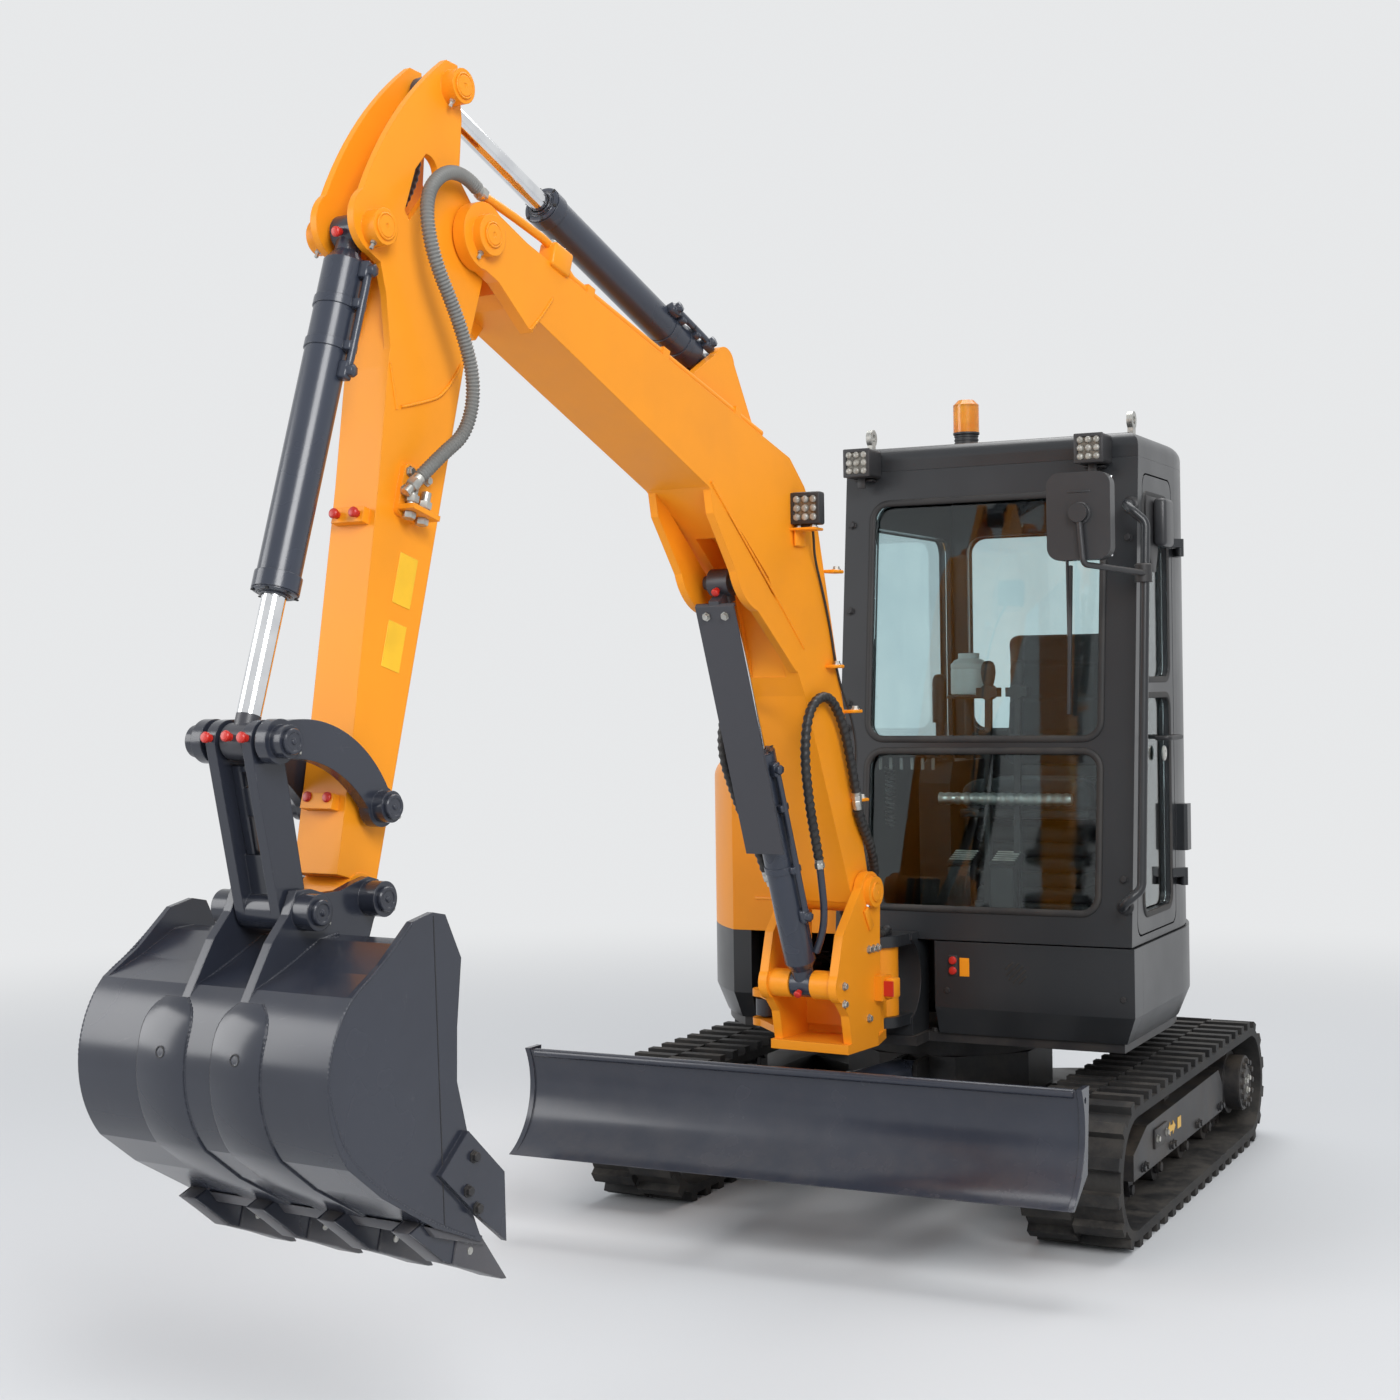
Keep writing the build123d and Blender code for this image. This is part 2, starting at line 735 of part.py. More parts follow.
def cab_body(inset, bottom, step_inset):
    """Solid of the cab's outer (inset 0) or inner shape."""
    with BuildPart() as body:
        with BuildSketch(plan(bottom)):
            add(cab_plan(inset))
        extrude(amount=cab_top - bottom)
        with BuildSketch(side(0)):
            Polygon((cab_front - 100, bottom - 10), (front_y(bottom - 10, inset), bottom - 10),
                    (front_y(cab_top + 10, inset), cab_top + 10), (cab_front - 100, cab_top + 10), align=None)
            Polygon((step_y - step_inset, 0), (step_y - step_inset, step_z + step_inset),
                    (2000, step_z + step_inset), (2000, 0), align=None)
        extrude(amount=1000, both=True, mode=Mode.SUBTRACT)
    return body.part


with BuildPart() as cab:
    add(cab_body(0, cab_floor, 0))
    add(cab_body(cab_wall, cab_floor + floor_thickness, floor_thickness), mode=Mode.SUBTRACT)
    # front windows above and below the bar
    bar = (mid_bar_z - cab_floor) / cos(lean)
    with BuildSketch(front_plane(cab_wall / 2)):
        for low, high in ((window["sill"], bar - mid_bar_height / 2), (bar + mid_bar_height / 2, window["head"])):
            with Locations(((window["left"] + window["right"]) / 2, (low + high) / 2)):
                RectangleRounded(window["left"] - window["right"], high - low, 50)
    extrude(amount=cab_wall, both=True, mode=Mode.SUBTRACT)
    # door opening
    with BuildSketch(side(cab_left)):
        add(door_outline(door_gap))
    extrude(amount=-260, mode=Mode.SUBTRACT)
    # right side and rear windows
    with BuildSketch(side(cab_right)):
        with Locations((-60, 1800)):
            RectangleRounded(860, 760, 60)
    extrude(amount=cab_wall * 2, both=True, mode=Mode.SUBTRACT)
    with BuildSketch(facing(cab_back)):
        with Locations((240, 1840)):
            RectangleRounded(580, 700, 60)
    extrude(amount=cab_wall * 2, both=True, mode=Mode.SUBTRACT)
    # fixed leaf and pin of each door hinge
    for z in hinge_heights:
        with BuildSketch(plan(z)):
            with Locations((hinge_x, hinge_y)):
                Circle(12)
            Polygon((cab_left, -50), (cab_left + 6, -50), (hinge_x + 12, hinge_y), (hinge_x - 12, hinge_y),
                    (cab_left, -90), align=None)
        extrude(amount=hinge_leaf)
        with BuildSketch(plan(z)):
            with Locations((hinge_x, hinge_y)):
                Circle(5)
        extrude(amount=2 * hinge_leaf)
    # catch that holds the opened door
    with BuildSketch(plan(1110)):
        Polygon((cab_left, -92), (cab_left + 26, -92), (cab_left + 34, -80), (cab_left + 34, -34),
                (cab_left, -34), align=None)
    extrude(amount=150)
save(cab, "cab_frame")

with BuildPart() as roof:
    with BuildSketch(plan(cab_top + fit)):
        add(cab_plan())
        with Locations((0, front_y(cab_top) - 500)):
            Rectangle(2400, 1000, mode=Mode.SUBTRACT)
    extrude(amount=roof_top - cab_top)
    fillet(roof.edges().group_by(Axis.Z)[-1], radius=45)
save(roof, "cab_roof")

with BuildPart() as panes:
    for low, high in ((window["sill"], bar - mid_bar_height / 2), (bar + mid_bar_height / 2, window["head"])):
        with BuildSketch(front_plane(cab_wall / 2)):
            with Locations(((window["left"] + window["right"]) / 2, (low + high) / 2)):
                RectangleRounded(window["left"] - window["right"] - 2 * fit, high - low - 2 * fit, 50)
        extrude(amount=glass / 2, both=True)
    with BuildSketch(side(cab_right + cab_wall / 2)):
        with Locations((-60, 1800)):
            RectangleRounded(860 - 2 * fit, 760 - 2 * fit, 60)
    extrude(amount=glass / 2, both=True)
    with BuildSketch(facing(cab_back - cab_wall / 2)):
        with Locations((240, 1840)):
            RectangleRounded(580 - 2 * fit, 700 - 2 * fit, 60)
    extrude(amount=glass / 2, both=True)
save(panes, "cab_glass")

# columns: lower edge, upper edge, front edge below and above
door_panes = ((945.0, 1610.0, -520.0, -480.0), (1670.0, 2235.0, -480.0, -425.0))


def door_pane(low, high, front_low, front_high, grow=0.0):
    back = door_back - 55
    with BuildSketch() as outline:
        with BuildLine():
            FilletPolyline((front_low - grow, low - grow), (back + grow, low - grow), (back + grow, high + grow),
                           (front_high - grow, high + grow), radius=40, close=True)
        make_face()
    return outline.sketch


# the door is a slice of the cab's own wall, so that it follows the curve
with BuildPart() as door:
    with BuildSketch(plan(door_low)):
        add(cab_plan())
    extrude(amount=door_high - door_low)
    with BuildSketch(plan(door_low)):
        add(cab_plan(cab_wall - 4))
    extrude(amount=door_high - door_low, mode=Mode.SUBTRACT)
    with BuildSketch(side(cab_left)):
        add(door_outline())
    extrude(amount=-260, mode=Mode.INTERSECT)
    with BuildSketch(side(cab_left)):
        for pane_row in door_panes:
            add(door_pane(*pane_row))
    extrude(amount=-260, mode=Mode.SUBTRACT)
    # moving leaf of each hinge
    for z in hinge_heights:
        with BuildSketch(plan(z + hinge_leaf + fit)):
            with Locations((hinge_x, hinge_y)):
                Circle(12)
            Polygon((cab_left, -165), (cab_left + 6, -165), (hinge_x + 12, hinge_y), (hinge_x - 12, hinge_y),
                    (cab_left, -130), align=None)
            with Locations((hinge_x, hinge_y)):
                Circle(5 + fit, mode=Mode.SUBTRACT)
        extrude(amount=hinge_leaf)
save(door, "cab_door")

with BuildPart() as door_glass:
    with BuildSketch(side(cab_left - cab_wall / 2)):
        for pane_row in door_panes:
            add(door_pane(*pane_row, grow=-fit))
    extrude(amount=glass / 2, both=True)
save(door_glass, "door_glass")

# ---------------------------------------------------------------- boom group
cheek_outer = cheek_inner + cheek_thickness
barrel_r = 70.0
with BuildPart() as bracket:
    with BuildSketch(plan(post_bottom + lug_thickness + 0.5)):
        with Locations((swing_x, swing_y)):
            Circle(barrel_r)
    extrude(amount=post_top - post_bottom - 2 * lug_thickness - 1)
    z_low = post_bottom + lug_thickness + 0.5
    with BuildSketch(Plane(origin=swing_foot + Vector(0, 0, z_low), x_dir=forward, z_dir=(0, 0, 1))):
        Polygon((0, -48), (0, 48), (115, 72), (260, 104), (260, -104), (115, -72), align=None)
    extrude(amount=100)
    for hand in (-1, 1):
        with BuildSketch(link((0, 0), 0, hand * (cheek_inner + cheek_thickness / 2))):
            with BuildLine():
                Polyline((foot_pin[0] - 60, foot_pin[1]), (222, 900), (222, 640), (240, 606), (406, 606),
                         (424, 690), (boom_low[0] + 10, boom_low[1] - 50))
                ThreePointArc((boom_low[0] + 10, boom_low[1] - 50), (boom_low[0] + 50, boom_low[1]),
                              (boom_low[0] + 38, boom_low[1] + 34))
                Polyline((boom_low[0] + 38, boom_low[1] + 34), (455, 930), (foot_pin[0] + 58, foot_pin[1] + 16))
                ThreePointArc((foot_pin[0] + 58, foot_pin[1] + 16), (foot_pin[0], foot_pin[1] + 60),
                              (foot_pin[0] - 60, foot_pin[1]))
            make_face()
        extrude(amount=cheek_thickness / 2, both=True)
        with BuildSketch(link(foot_pin, 0, hand * cheek_outer)):
            Circle(46)
        extrude(amount=-hand * (foot_boss - cheek_outer))
        with BuildSketch(link(boom_low, 0, hand * cheek_inner)):
            Circle(42)
        extrude(amount=hand * (cheek_inner - 36))
    base_top = 606.0
    with BuildSketch(Plane(origin=swing_foot + Vector(0, 0, base_top - 28), x_dir=forward, z_dir=(0, 0, 1))):
        Polygon((110, 90), (110, -90), (240, -cheek_outer), (430, -cheek_outer), (430, cheek_outer),
                (240, cheek_outer), align=None)
    extrude(amount=28)
    # plate between the cheeks behind the cylinder's eye
    with BuildSketch(link((0, 0), 0, 0)):
        Polygon((150, 606), (250, 606), (250, 720), (150, 731), align=None)
    extrude(amount=cheek_inner, both=True)
    # pins of the boom foot and of the boom cylinder
    for pin in (foot_pin, boom_low):
        with BuildSketch(link(pin)):
            Circle(pin_radius * 0.8)
        extrude(amount=cheek_outer, both=True)
    # ears for the swing cylinder on the right
    ear_pin = swing_ear
    for z in (600.0, 690.0):
        with BuildSketch(Plane(origin=swing_foot + Vector(0, 0, z), x_dir=forward, z_dir=(0, 0, 1))):
            with Locations(ear_pin):
                Circle(46)
            Polygon((ear_pin[0] - 46, ear_pin[1]), (ear_pin[0] + 46, ear_pin[1]), (380, -cheek_inner - 4),
                    (226, -cheek_inner - 4), align=None)
        extrude(amount=22)
    # hose bracket on the left cheek
    with BuildSketch(link((0, 0), 0, cheek_outer)):
        with Locations((232, 752)):
            Rectangle(60, 74)
    extrude(amount=-26)
    with BuildSketch(plan(post_bottom + lug_thickness)):
        with Locations((swing_x, swing_y)):
            Circle(35)
    extrude(amount=post_top - post_bottom - 2 * lug_thickness, mode=Mode.SUBTRACT)
save(bracket, "swing_bracket")

ear_inner_face = boom_half - ear_thickness
rod_pocket = 57.0
with BuildPart() as boom:
    with BuildSketch(link(foot_pin, boom_angle)):
        with BuildLine():
            outline = Polyline((0, 60), (905, 622), (1040, 655), (1150, 655), (2330, 112), (2330, -20),
                               (2233, -8), (1393, 276), (1180, 308), (1010, 318), (640, 208), (20, -60), close=True)
        make_face()
        Circle(62)
    extrude(amount=boom_half, both=True)
    boom_edges = boom.edges().filter_by(lambda e: e.length > 190 and abs(e.length - 2 * boom_half) < 1)
    with BuildSketch(link(elbow, boom_angle)):
        Circle(150)
    extrude(amount=ear_inner_face, both=True, mode=Mode.SUBTRACT)
    for hand in (-1, 1):
        with BuildSketch(link(elbow, boom_angle, hand * (boom_half - ear_thickness / 2))):
            Circle(78)
            Polygon((0, 78), (-150, 130), (-260, 100), (-260, -30), (-100, -40), (0, -78), align=None)
        extrude(amount=ear_thickness / 2, both=True)
        with BuildSketch(link(elbow, boom_angle, hand * boom_half)):
            Circle(48)
        extrude(amount=-hand * (elbow_boss - boom_half))
        # cheek over the boom cylinder's upper pin
        with BuildSketch(link(foot_pin, boom_angle, hand * (boom_half - 12))):
            with BuildLine():
                Polyline((720, 226), (740, 300), (1400, 290), (1330, 240), (1144, 206))
                ThreePointArc((1144, 206), (boom_top_pin[0], boom_top_pin[1] - 66), (990, 206))
                Line((990, 206), (720, 226))
            make_face()
        extrude(amount=12, both=True)
        # ear of the arm cylinder
        with BuildSketch(link(foot_pin, boom_angle, hand * 58)):
            with Locations(arm_cyl_pin):
                Circle(50)
            Polygon((1250, 590), (1490, 660), (1560, 655), (1640, 400), (1300, 560), align=None)
        extrude(amount=12, both=True)
    for pin, half in ((elbow, boom_half), (arm_base, 60.0)):
        with BuildSketch(link(pin)):
            Circle(pin_radius * 0.8)
        extrude(amount=half, both=True)
    # pocket for the rod's eye
    with BuildSketch(link(boom_high, boom_angle)):
        Circle(130)
    extrude(amount=rod_pocket, both=True, mode=Mode.SUBTRACT)
    # groove that runs up to it for the rod and the barrel's end
    with BuildSketch(link(foot_pin, boom_angle)):
        Polygon((700, 200), (700, 228), (800, 286), (900, 348), (1060, 376), (1060, 200), align=None)
    extrude(amount=rod_pocket, both=True, mode=Mode.SUBTRACT)
    with BuildSketch(link(foot_pin)):
        Circle(pin_radius * 0.8 + fit)
    extrude(amount=boom_half * 2, both=True, mode=Mode.SUBTRACT)
save(boom, "boom")

with BuildPart() as arm:
    # box section below the elbow
    with BuildSketch(link(elbow, arm_angle)):
        Polygon((-40, -50), (60, -60), (300, -45), (1500, -46), (1500, 80), (1220, 105), (660, 165), (400, 200),
                (200, 215), (60, 220), align=None)
    extrude(amount=arm_half, both=True)
    # head plates
    for hand in (-1, 1):
        with BuildSketch(link(elbow, arm_angle, hand * (arm_half - head_plate / 2))):
            with BuildLine():
                Polyline((-358, 150), (-246, 105), (-110, 80), (-60, 0), (20, -30), (300, -40), (400, 0),
                         (480, 145), (380, 195), (250, 245), (190, 280), (184, 320))
                ThreePointArc((184, 320), (150, 378), (60, 372))
                ThreePointArc((60, 372), (-180, 295), (-350, 190))
                Line((-350, 190), (-358, 150))
            make_face()
            with BuildLine():
                Polyline((-60, 225), (45, 235), (60, 215), (-40, 165))
                ThreePointArc((-40, 165), (-100, 160), (-110, 200))
                Line((-110, 200), (-60, 225))
            make_face(mode=Mode.SUBTRACT)
        extrude(amount=head_plate / 2, both=True)
        for pin, half in ((arm_head, 97.0), (bucket_base, 97.0)):
            with BuildSketch(link(pin, 0, hand * arm_half)):
                Circle(40)
            extrude(amount=-hand * (half - arm_half))
    with BuildSketch(link(elbow)):
        Circle(60)
    extrude(amount=arm_half + 3, both=True)
    with BuildSketch(link(elbow)):
        Circle(pin_radius * 0.8 + fit)
    extrude(amount=boom_half, both=True, mode=Mode.SUBTRACT)
    with BuildSketch(link(tip)):
        Circle(52)
    extrude(amount=arm_half + 3, both=True)
    with BuildSketch(link(tip)):
        Circle(pin_radius * 0.8 + fit)
    extrude(amount=boom_half, both=True, mode=Mode.SUBTRACT)
    # bracket of the hose ports on the left, and the clips on the front face
    with BuildSketch(link(elbow, arm_angle, arm_half)):
        with Locations((646, 60)):
            RectangleRounded(118, 92, 14)
    extrude(amount=-14)
    with BuildSketch(link(elbow, arm_angle, arm_half + 14)):
        with Locations((690, 60)):
            Rectangle(12, 92)
    extrude(amount=-44)
    for station, top in ((730, 157), (1350, 95)):
        with BuildSketch(link(elbow, arm_angle)):
            with Locations((station, top + 5)):
                Rectangle(34, 30)
        extrude(amount=44, both=True)
    with BuildSketch(link(bucket_base)):
        Circle(pin_radius * 0.8)
    extrude(amount=90, both=True)
    with BuildSketch(link(guide)):
        Circle(pin_radius * 0.8)
    extrude(amount=knuckle_boss, both=True)
save(arm, "arm")

# pressure pipes on the boom's back, from the arm cylinder's ears to the elbow
pipe_radius = 11.0
with BuildPart() as pipes:
    for hand in (-1, 1):
        plane = link(foot_pin, boom_angle, hand * 84)
        rise = pipe_radius + 1
        # the back falls from (1150, 655) to (2330, 112)
        with BuildLine() as run_line:
            FilletPolyline(*(plane.from_local_coords(p) for p in
                             ((1290, 560 + 31 + rise, 0), (1330, 572 + rise, 0), (2140, 199.4 + rise, 0),
                              (2190, 190 + rise, 0))), radius=30)
        with BuildSketch(Plane(run_line.line @ 0, z_dir=run_line.line % 0)):
            Circle(pipe_radius)
        sweep(path=run_line.line)
        for station in (1420, 1760, 2080):
            with BuildSketch(plane):
                with Locations((station, 655 - (station - 1150) * 0.46017 + 12)):
                    Rectangle(30, 26, rotation=-24.71)
            extrude(amount=14, both=True)
    add(boom.part, mode=Mode.SUBTRACT)
save(pipes, "boom_pipes")

# ---------------------------------------------------------------- boom group cylinders
rod, angle = cylinder("boom_cylinder", boom_low, boom_high, 735, 395, boom_barrel, link,
                      eye_half=33, pin_half=rod_pocket - 2)
with BuildPart() as boom_rod:
    add(rod.part)
    with BuildSketch(link(boom_low, angle)):
        Polygon((450, -70), (450, -64), (1195, -64), (1195, -58), (1204, -58), (1204, -64),
                (1198, -70), align=None)
    extrude(amount=62, both=True)
    # web that ties the guard to the rod's end
    with BuildSketch(link(boom_low, angle)):
        Polygon((1176, -68), (1212, -68), (1225, -20), (1176, -20), align=None)
    extrude(amount=16, both=True)
save(boom_rod, "boom_cylinder_rod")

rod, angle = cylinder("arm_cylinder", arm_base, arm_head, 795, 352, arm_barrel, link, pin_half=42)
save(rod, "arm_cylinder_rod")
rod, angle = cylinder("bucket_cylinder", bucket_base, knuckle, 830, 200, bucket_barrel, link)
save(rod, "bucket_cylinder_rod")

# ---------------------------------------------------------------- bucket linkage
guide_length, guide_angle = reach(guide, knuckle)
with BuildPart() as guides:
    for hand in (-1, 1):
        with BuildSketch(link(guide, guide_angle, hand * (arm_half + 28))):
            Circle(44)
            with Locations((guide_length, 0)):
                Circle(46)
            with BuildLine():
                ThreePointArc((0, 44), (guide_length / 2, 96), (guide_length, 46))
                Line((guide_length, 46), (guide_length, -46))
                ThreePointArc((guide_length, -46), (guide_length / 2, 10), (0, -44))
                Line((0, -44), (0, 44))
            make_face()
        extrude(amount=14, both=True)
        with BuildSketch(link(guide, guide_angle, hand * (arm_half + 42))):
            with Locations((0, 0), (guide_length, 0)):
                Circle(34)
        extrude(amount=-hand * (knuckle_boss - arm_half - 42))
    with BuildSketch(link(guide)):
        Circle(pin_radius * 0.8 + fit)
    extrude(amount=160, both=True, mode=Mode.SUBTRACT)
save(guides, "guide_links")

link_length, link_angle = reach(hanger, knuckle)
with BuildPart() as h_link:
    for hand in (-1, 1):
        with BuildSketch(link(hanger, link_angle, hand * 50)):
            Polygon((0, -40), (0, 40), (link_length, 44), (link_length, -44), align=None)
            with Locations((link_length, 0)):
                Circle(44)
            Circle(40)
        extrude(amount=13, both=True)
        with BuildSketch(link(knuckle, 0, hand * 63)):
            Circle(30)
        extrude(amount=-hand * 10)
    with BuildSketch(link(hanger, link_angle)):
        Circle(40)
        Polygon((0, -12), (0, 12), (120, 12), (120, -12), align=None)
    extrude(amount=63, both=True)
    with BuildSketch(link(hanger)):
        Circle(pin_radius * 0.8 + fit)
    extrude(amount=160, both=True, mode=Mode.SUBTRACT)
save(h_link, "h_link")

# ---------------------------------------------------------------- bucket
with BuildPart() as bucket:
    # shell between the side plates
    with BuildSketch(link(tip, bucket_angle)):
        with BuildLine():
            Polyline((42, -130), (100, -62), (160, -62), (262, -106), (352, -134))
            ThreePointArc((352, -134), (430, -290), (382, -462))
            Polyline((382, -462), (290, -540), (135, -640), (-10, -708), (-14, -696), (128, -626), (282, -526),
                     (370, -452))
            ThreePointArc((370, -452), (415, -290), (343, -146))
            Polyline((343, -146), (256, -120), (156, -76), (104, -76), (56, -130), (42, -130))
        make_face()
    extrude(amount=bucket_half, both=True)
    for hand in (-1, 1):
        with BuildSketch(link(tip, bucket_angle, hand * (bucket_half - bucket_plate / 2))):
            with BuildLine():
                Polyline((352, -134), (262, -86), (165, -14), (100, -4), (60, -14), (15, -110), (38, -250),
                         (46, -360), (20, -470), (12, -646), (-10, -700), (135, -640), (290, -540), (382, -462))
                ThreePointArc((382, -462), (430, -290), (352, -134))
            make_face()
        extrude(amount=bucket_plate / 2, both=True)
        # side cutter
        with BuildSketch(link(tip, bucket_angle, hand * (bucket_half + 7))):
            Polygon((33, -464), (-80, -576), (-76, -722), (12, -646), (126, -535), align=None)
        extrude(amount=7, both=True)
        # hanger ears
        with BuildSketch(link(tip, bucket_angle, hand * (ear_inner + ear_plate / 2))):
            with BuildLine():
                Polyline((-46, 0), (-30, 36), (0, 46), (40, 40), (90, 28), (140, 30), (180, 44), (222, 46),
                         (248, 0), (300, -50), (404, -200), (390, -210), (340, -145), (256, -112), (158, -68),
                         (102, -68), (48, -130), (20, -110), (-10, -46), (-46, 0))
            make_face()
        extrude(amount=ear_plate / 2, both=True)
        for pin in (tip, hanger):
            with BuildSketch(link(pin, 0, hand * (ear_inner + ear_plate))):
                Circle(38)
            extrude(amount=-hand * (tip_boss - ear_inner - ear_plate))
    for pin in (tip, hanger):
        with BuildSketch(link(pin)):
            Circle(pin_radius * 0.8)
        extrude(amount=tip_boss, both=True)
    # adapters and teeth along the lip
    tooth_pitch = (2 * bucket_half - 90) / 3
    for n in range(4):
        with BuildSketch(link(tip, bucket_angle, -bucket_half + 45 + n * tooth_pitch)):
            Polygon((190, -640), (150, -628), (20, -690), (-20, -690), (-108, -812), (-20, -770), (90, -724),
                    align=None)
        extrude(amount=26, both=True)
save(bucket, "bucket")

# ---------------------------------------------------------------- swing cylinder


def swing_plane(pin, angle=0.0, left=0.0):
    """Level plane at the swing cylinder's height; pins are (x, y) from the slew axis."""
    a = radians(angle)
    return Plane(origin=(pin[0], slew_y + pin[1], swing_cyl_z + left), x_dir=(cos(a), sin(a), 0),
                 z_dir=(0, 0, 1))


eye_spot = swing_foot + forward * ear_pin[0] + leftward * ear_pin[1]
swing_eye = (eye_spot.X, eye_spot.Y - slew_y)
rod, angle = cylinder("swing_cylinder", swing_base, swing_eye, 715, 222, swing_barrel, swing_plane,
                      eye=36, eye_half=26, pin_half=31)
save(rod, "swing_cylinder_rod")

# ---------------------------------------------------------------- cab fittings
inside = cab_floor + floor_thickness
with BuildPart() as seat:
    with BuildSketch(plan(inside)):
        with Locations((370, -70)):
            Rectangle(400, 360)
    extrude(amount=350)
    with BuildSketch(plan(inside + 350)):
        with Locations((370, -90)):
            RectangleRounded(470, 460, 60)
    extrude(amount=110)
    with BuildSketch(Plane(origin=(370, slew_y + 120, inside + 450), x_dir=(1, 0, 0), z_dir=(0, -1, 0.14))):
        with Locations((0, 255)):
            RectangleRounded(420, 510, 90)
    extrude(amount=48, both=True)
save(seat, "operator_seat")

with BuildPart() as controls:
    for x in (60, 660):
        with BuildSketch(side(x)):
            Polygon((-280, inside), (-280, 1330), (-250, 1400), (60, 1400), (120, 1300), (120, inside), align=None)
        extrude(amount=55, both=True)
        with BuildSketch(plan(1400)):
            with Locations((x, -220)):
                Circle(14)
        extrude(amount=170)
        with BuildSketch(plan(1530)):
            with Locations((x, -220)):
                Circle(24)
        extrude(amount=110)
    for x, pedal in ((280, 209), (379, 352)):
        with BuildSketch(side(x)):
            Polygon((-410, inside), (-370, 1630), (-350, 1630), (-380, inside), align=None)
        extrude(amount=10, both=True)
        with BuildSketch(facing(-360)):
            with Locations((x, 1630)):
                Circle(24)
                Rectangle(70, 30)
        extrude(amount=24, both=True)
        with BuildSketch(side(pedal)):
            Polygon((-470, inside), (-470, 1070), (-360, 1110), (-350, 1090), (-440, 1050), (-440, inside),
                    align=None)
        extrude(amount=38, both=True)
save(controls, "cab_controls")

with BuildPart() as lamps:
    for x in (-72, 690):
        with BuildSketch(facing(front_y(2325) - 48 - fit)):
            with Locations((x, 2374)):
                RectangleRounded(92, 92, 10)
        extrude(amount=48, both=True)
save(lamps, "cab_work_lamps")

with BuildPart() as beacon:
    with BuildSketch(plan(roof_top + fit)):
        with Locations((142, -150)):
            Circle(36)
    extrude(amount=70)
    with BuildSketch(plan(roof_top + fit + 70)):
        with Locations((142, -150)):
            Circle(43)
    extrude(amount=110)
    chamfer(beacon.edges().group_by(Axis.Z)[-1], length=16)
save(beacon, "beacon")

with BuildPart() as eyes:
    for x in (-100, 770):
        with BuildSketch(side(x)):
            with Locations((-400, roof_top + 44)):
                Circle(28)
            with Locations((-400, roof_top + 22 + 2 * fit)):
                Rectangle(30, 44)
            with Locations((-400, roof_top + 44)):
                Circle(13, mode=Mode.SUBTRACT)
        extrude(amount=9, both=True)
save(eyes, "lifting_eyes")

rail_x, rail_y = 862.0, -700.0
rail_low, rail_high = 980.0, 2200.0
with BuildPart() as rail:
    with BuildLine():
        FilletPolyline((cab_left - 20, slew_y + front_y(rail_low - 15) - fit, rail_low),
                       (cab_left - 20, slew_y + rail_y - 40, rail_low), (rail_x, slew_y + rail_y, rail_low + 60),
                       (rail_x, slew_y + rail_y + 100, rail_high - 60),
                       (cab_left - 20, slew_y + rail_y + 90, rail_high),
                       (cab_left - 20, slew_y + front_y(rail_high - 15) - fit, rail_high), radius=40)
    with BuildSketch(facing(front_y(rail_low - 15) - fit)):
        with Locations((cab_left - 20, rail_low)):
            Circle(14)
    sweep()
save(rail, "grab_rail")

# front mirror on its bent arm, clamped to the rail
with BuildPart() as mirror:
    with BuildSketch(facing(-775)):
        with Locations((720, 2150)):
            RectangleRounded(193, 260, 40)
    extrude(amount=50)
    with BuildSketch(facing(-824)):
        with Locations((725, 2158)):
            Circle(28)
    extrude(amount=28)
    with BuildLine() as bend:
        FilletPolyline((725, slew_y - 840, 2158), (738, slew_y - 840, 2006), (862, slew_y - 640, 1985),
                       (862, slew_y - 612, 1985), radius=20)
    with BuildSketch(Plane(bend.line @ 0, z_dir=bend.line % 0)):
        Circle(9)
    sweep(path=bend.line)
    with Locations((862, slew_y - 614, 1985)):
        Sphere(22)
    add(rail.part, mode=Mode.SUBTRACT)
save(mirror, "front_mirror")
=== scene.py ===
# %% [markdown]
# # A compact crawler excavator
# The machine stands on two rubber tracks, with a cab, a swinging boom, an arm,
# a toothed bucket and a dozer blade. Its solid pieces come from the CAD model,
# which is loaded here as a fixed frame. This lesson gives every piece its
# finish, and adds what a CAD model leaves out: hoses, bolts, seals, a seat.
# Lengths are metres, +Z is up and the machine looks towards -Y.

# %% Load the frame
from math import atan2, cos, hypot, pi, radians, sin, sqrt

import bmesh
import bpy
from mathutils import Matrix, Vector


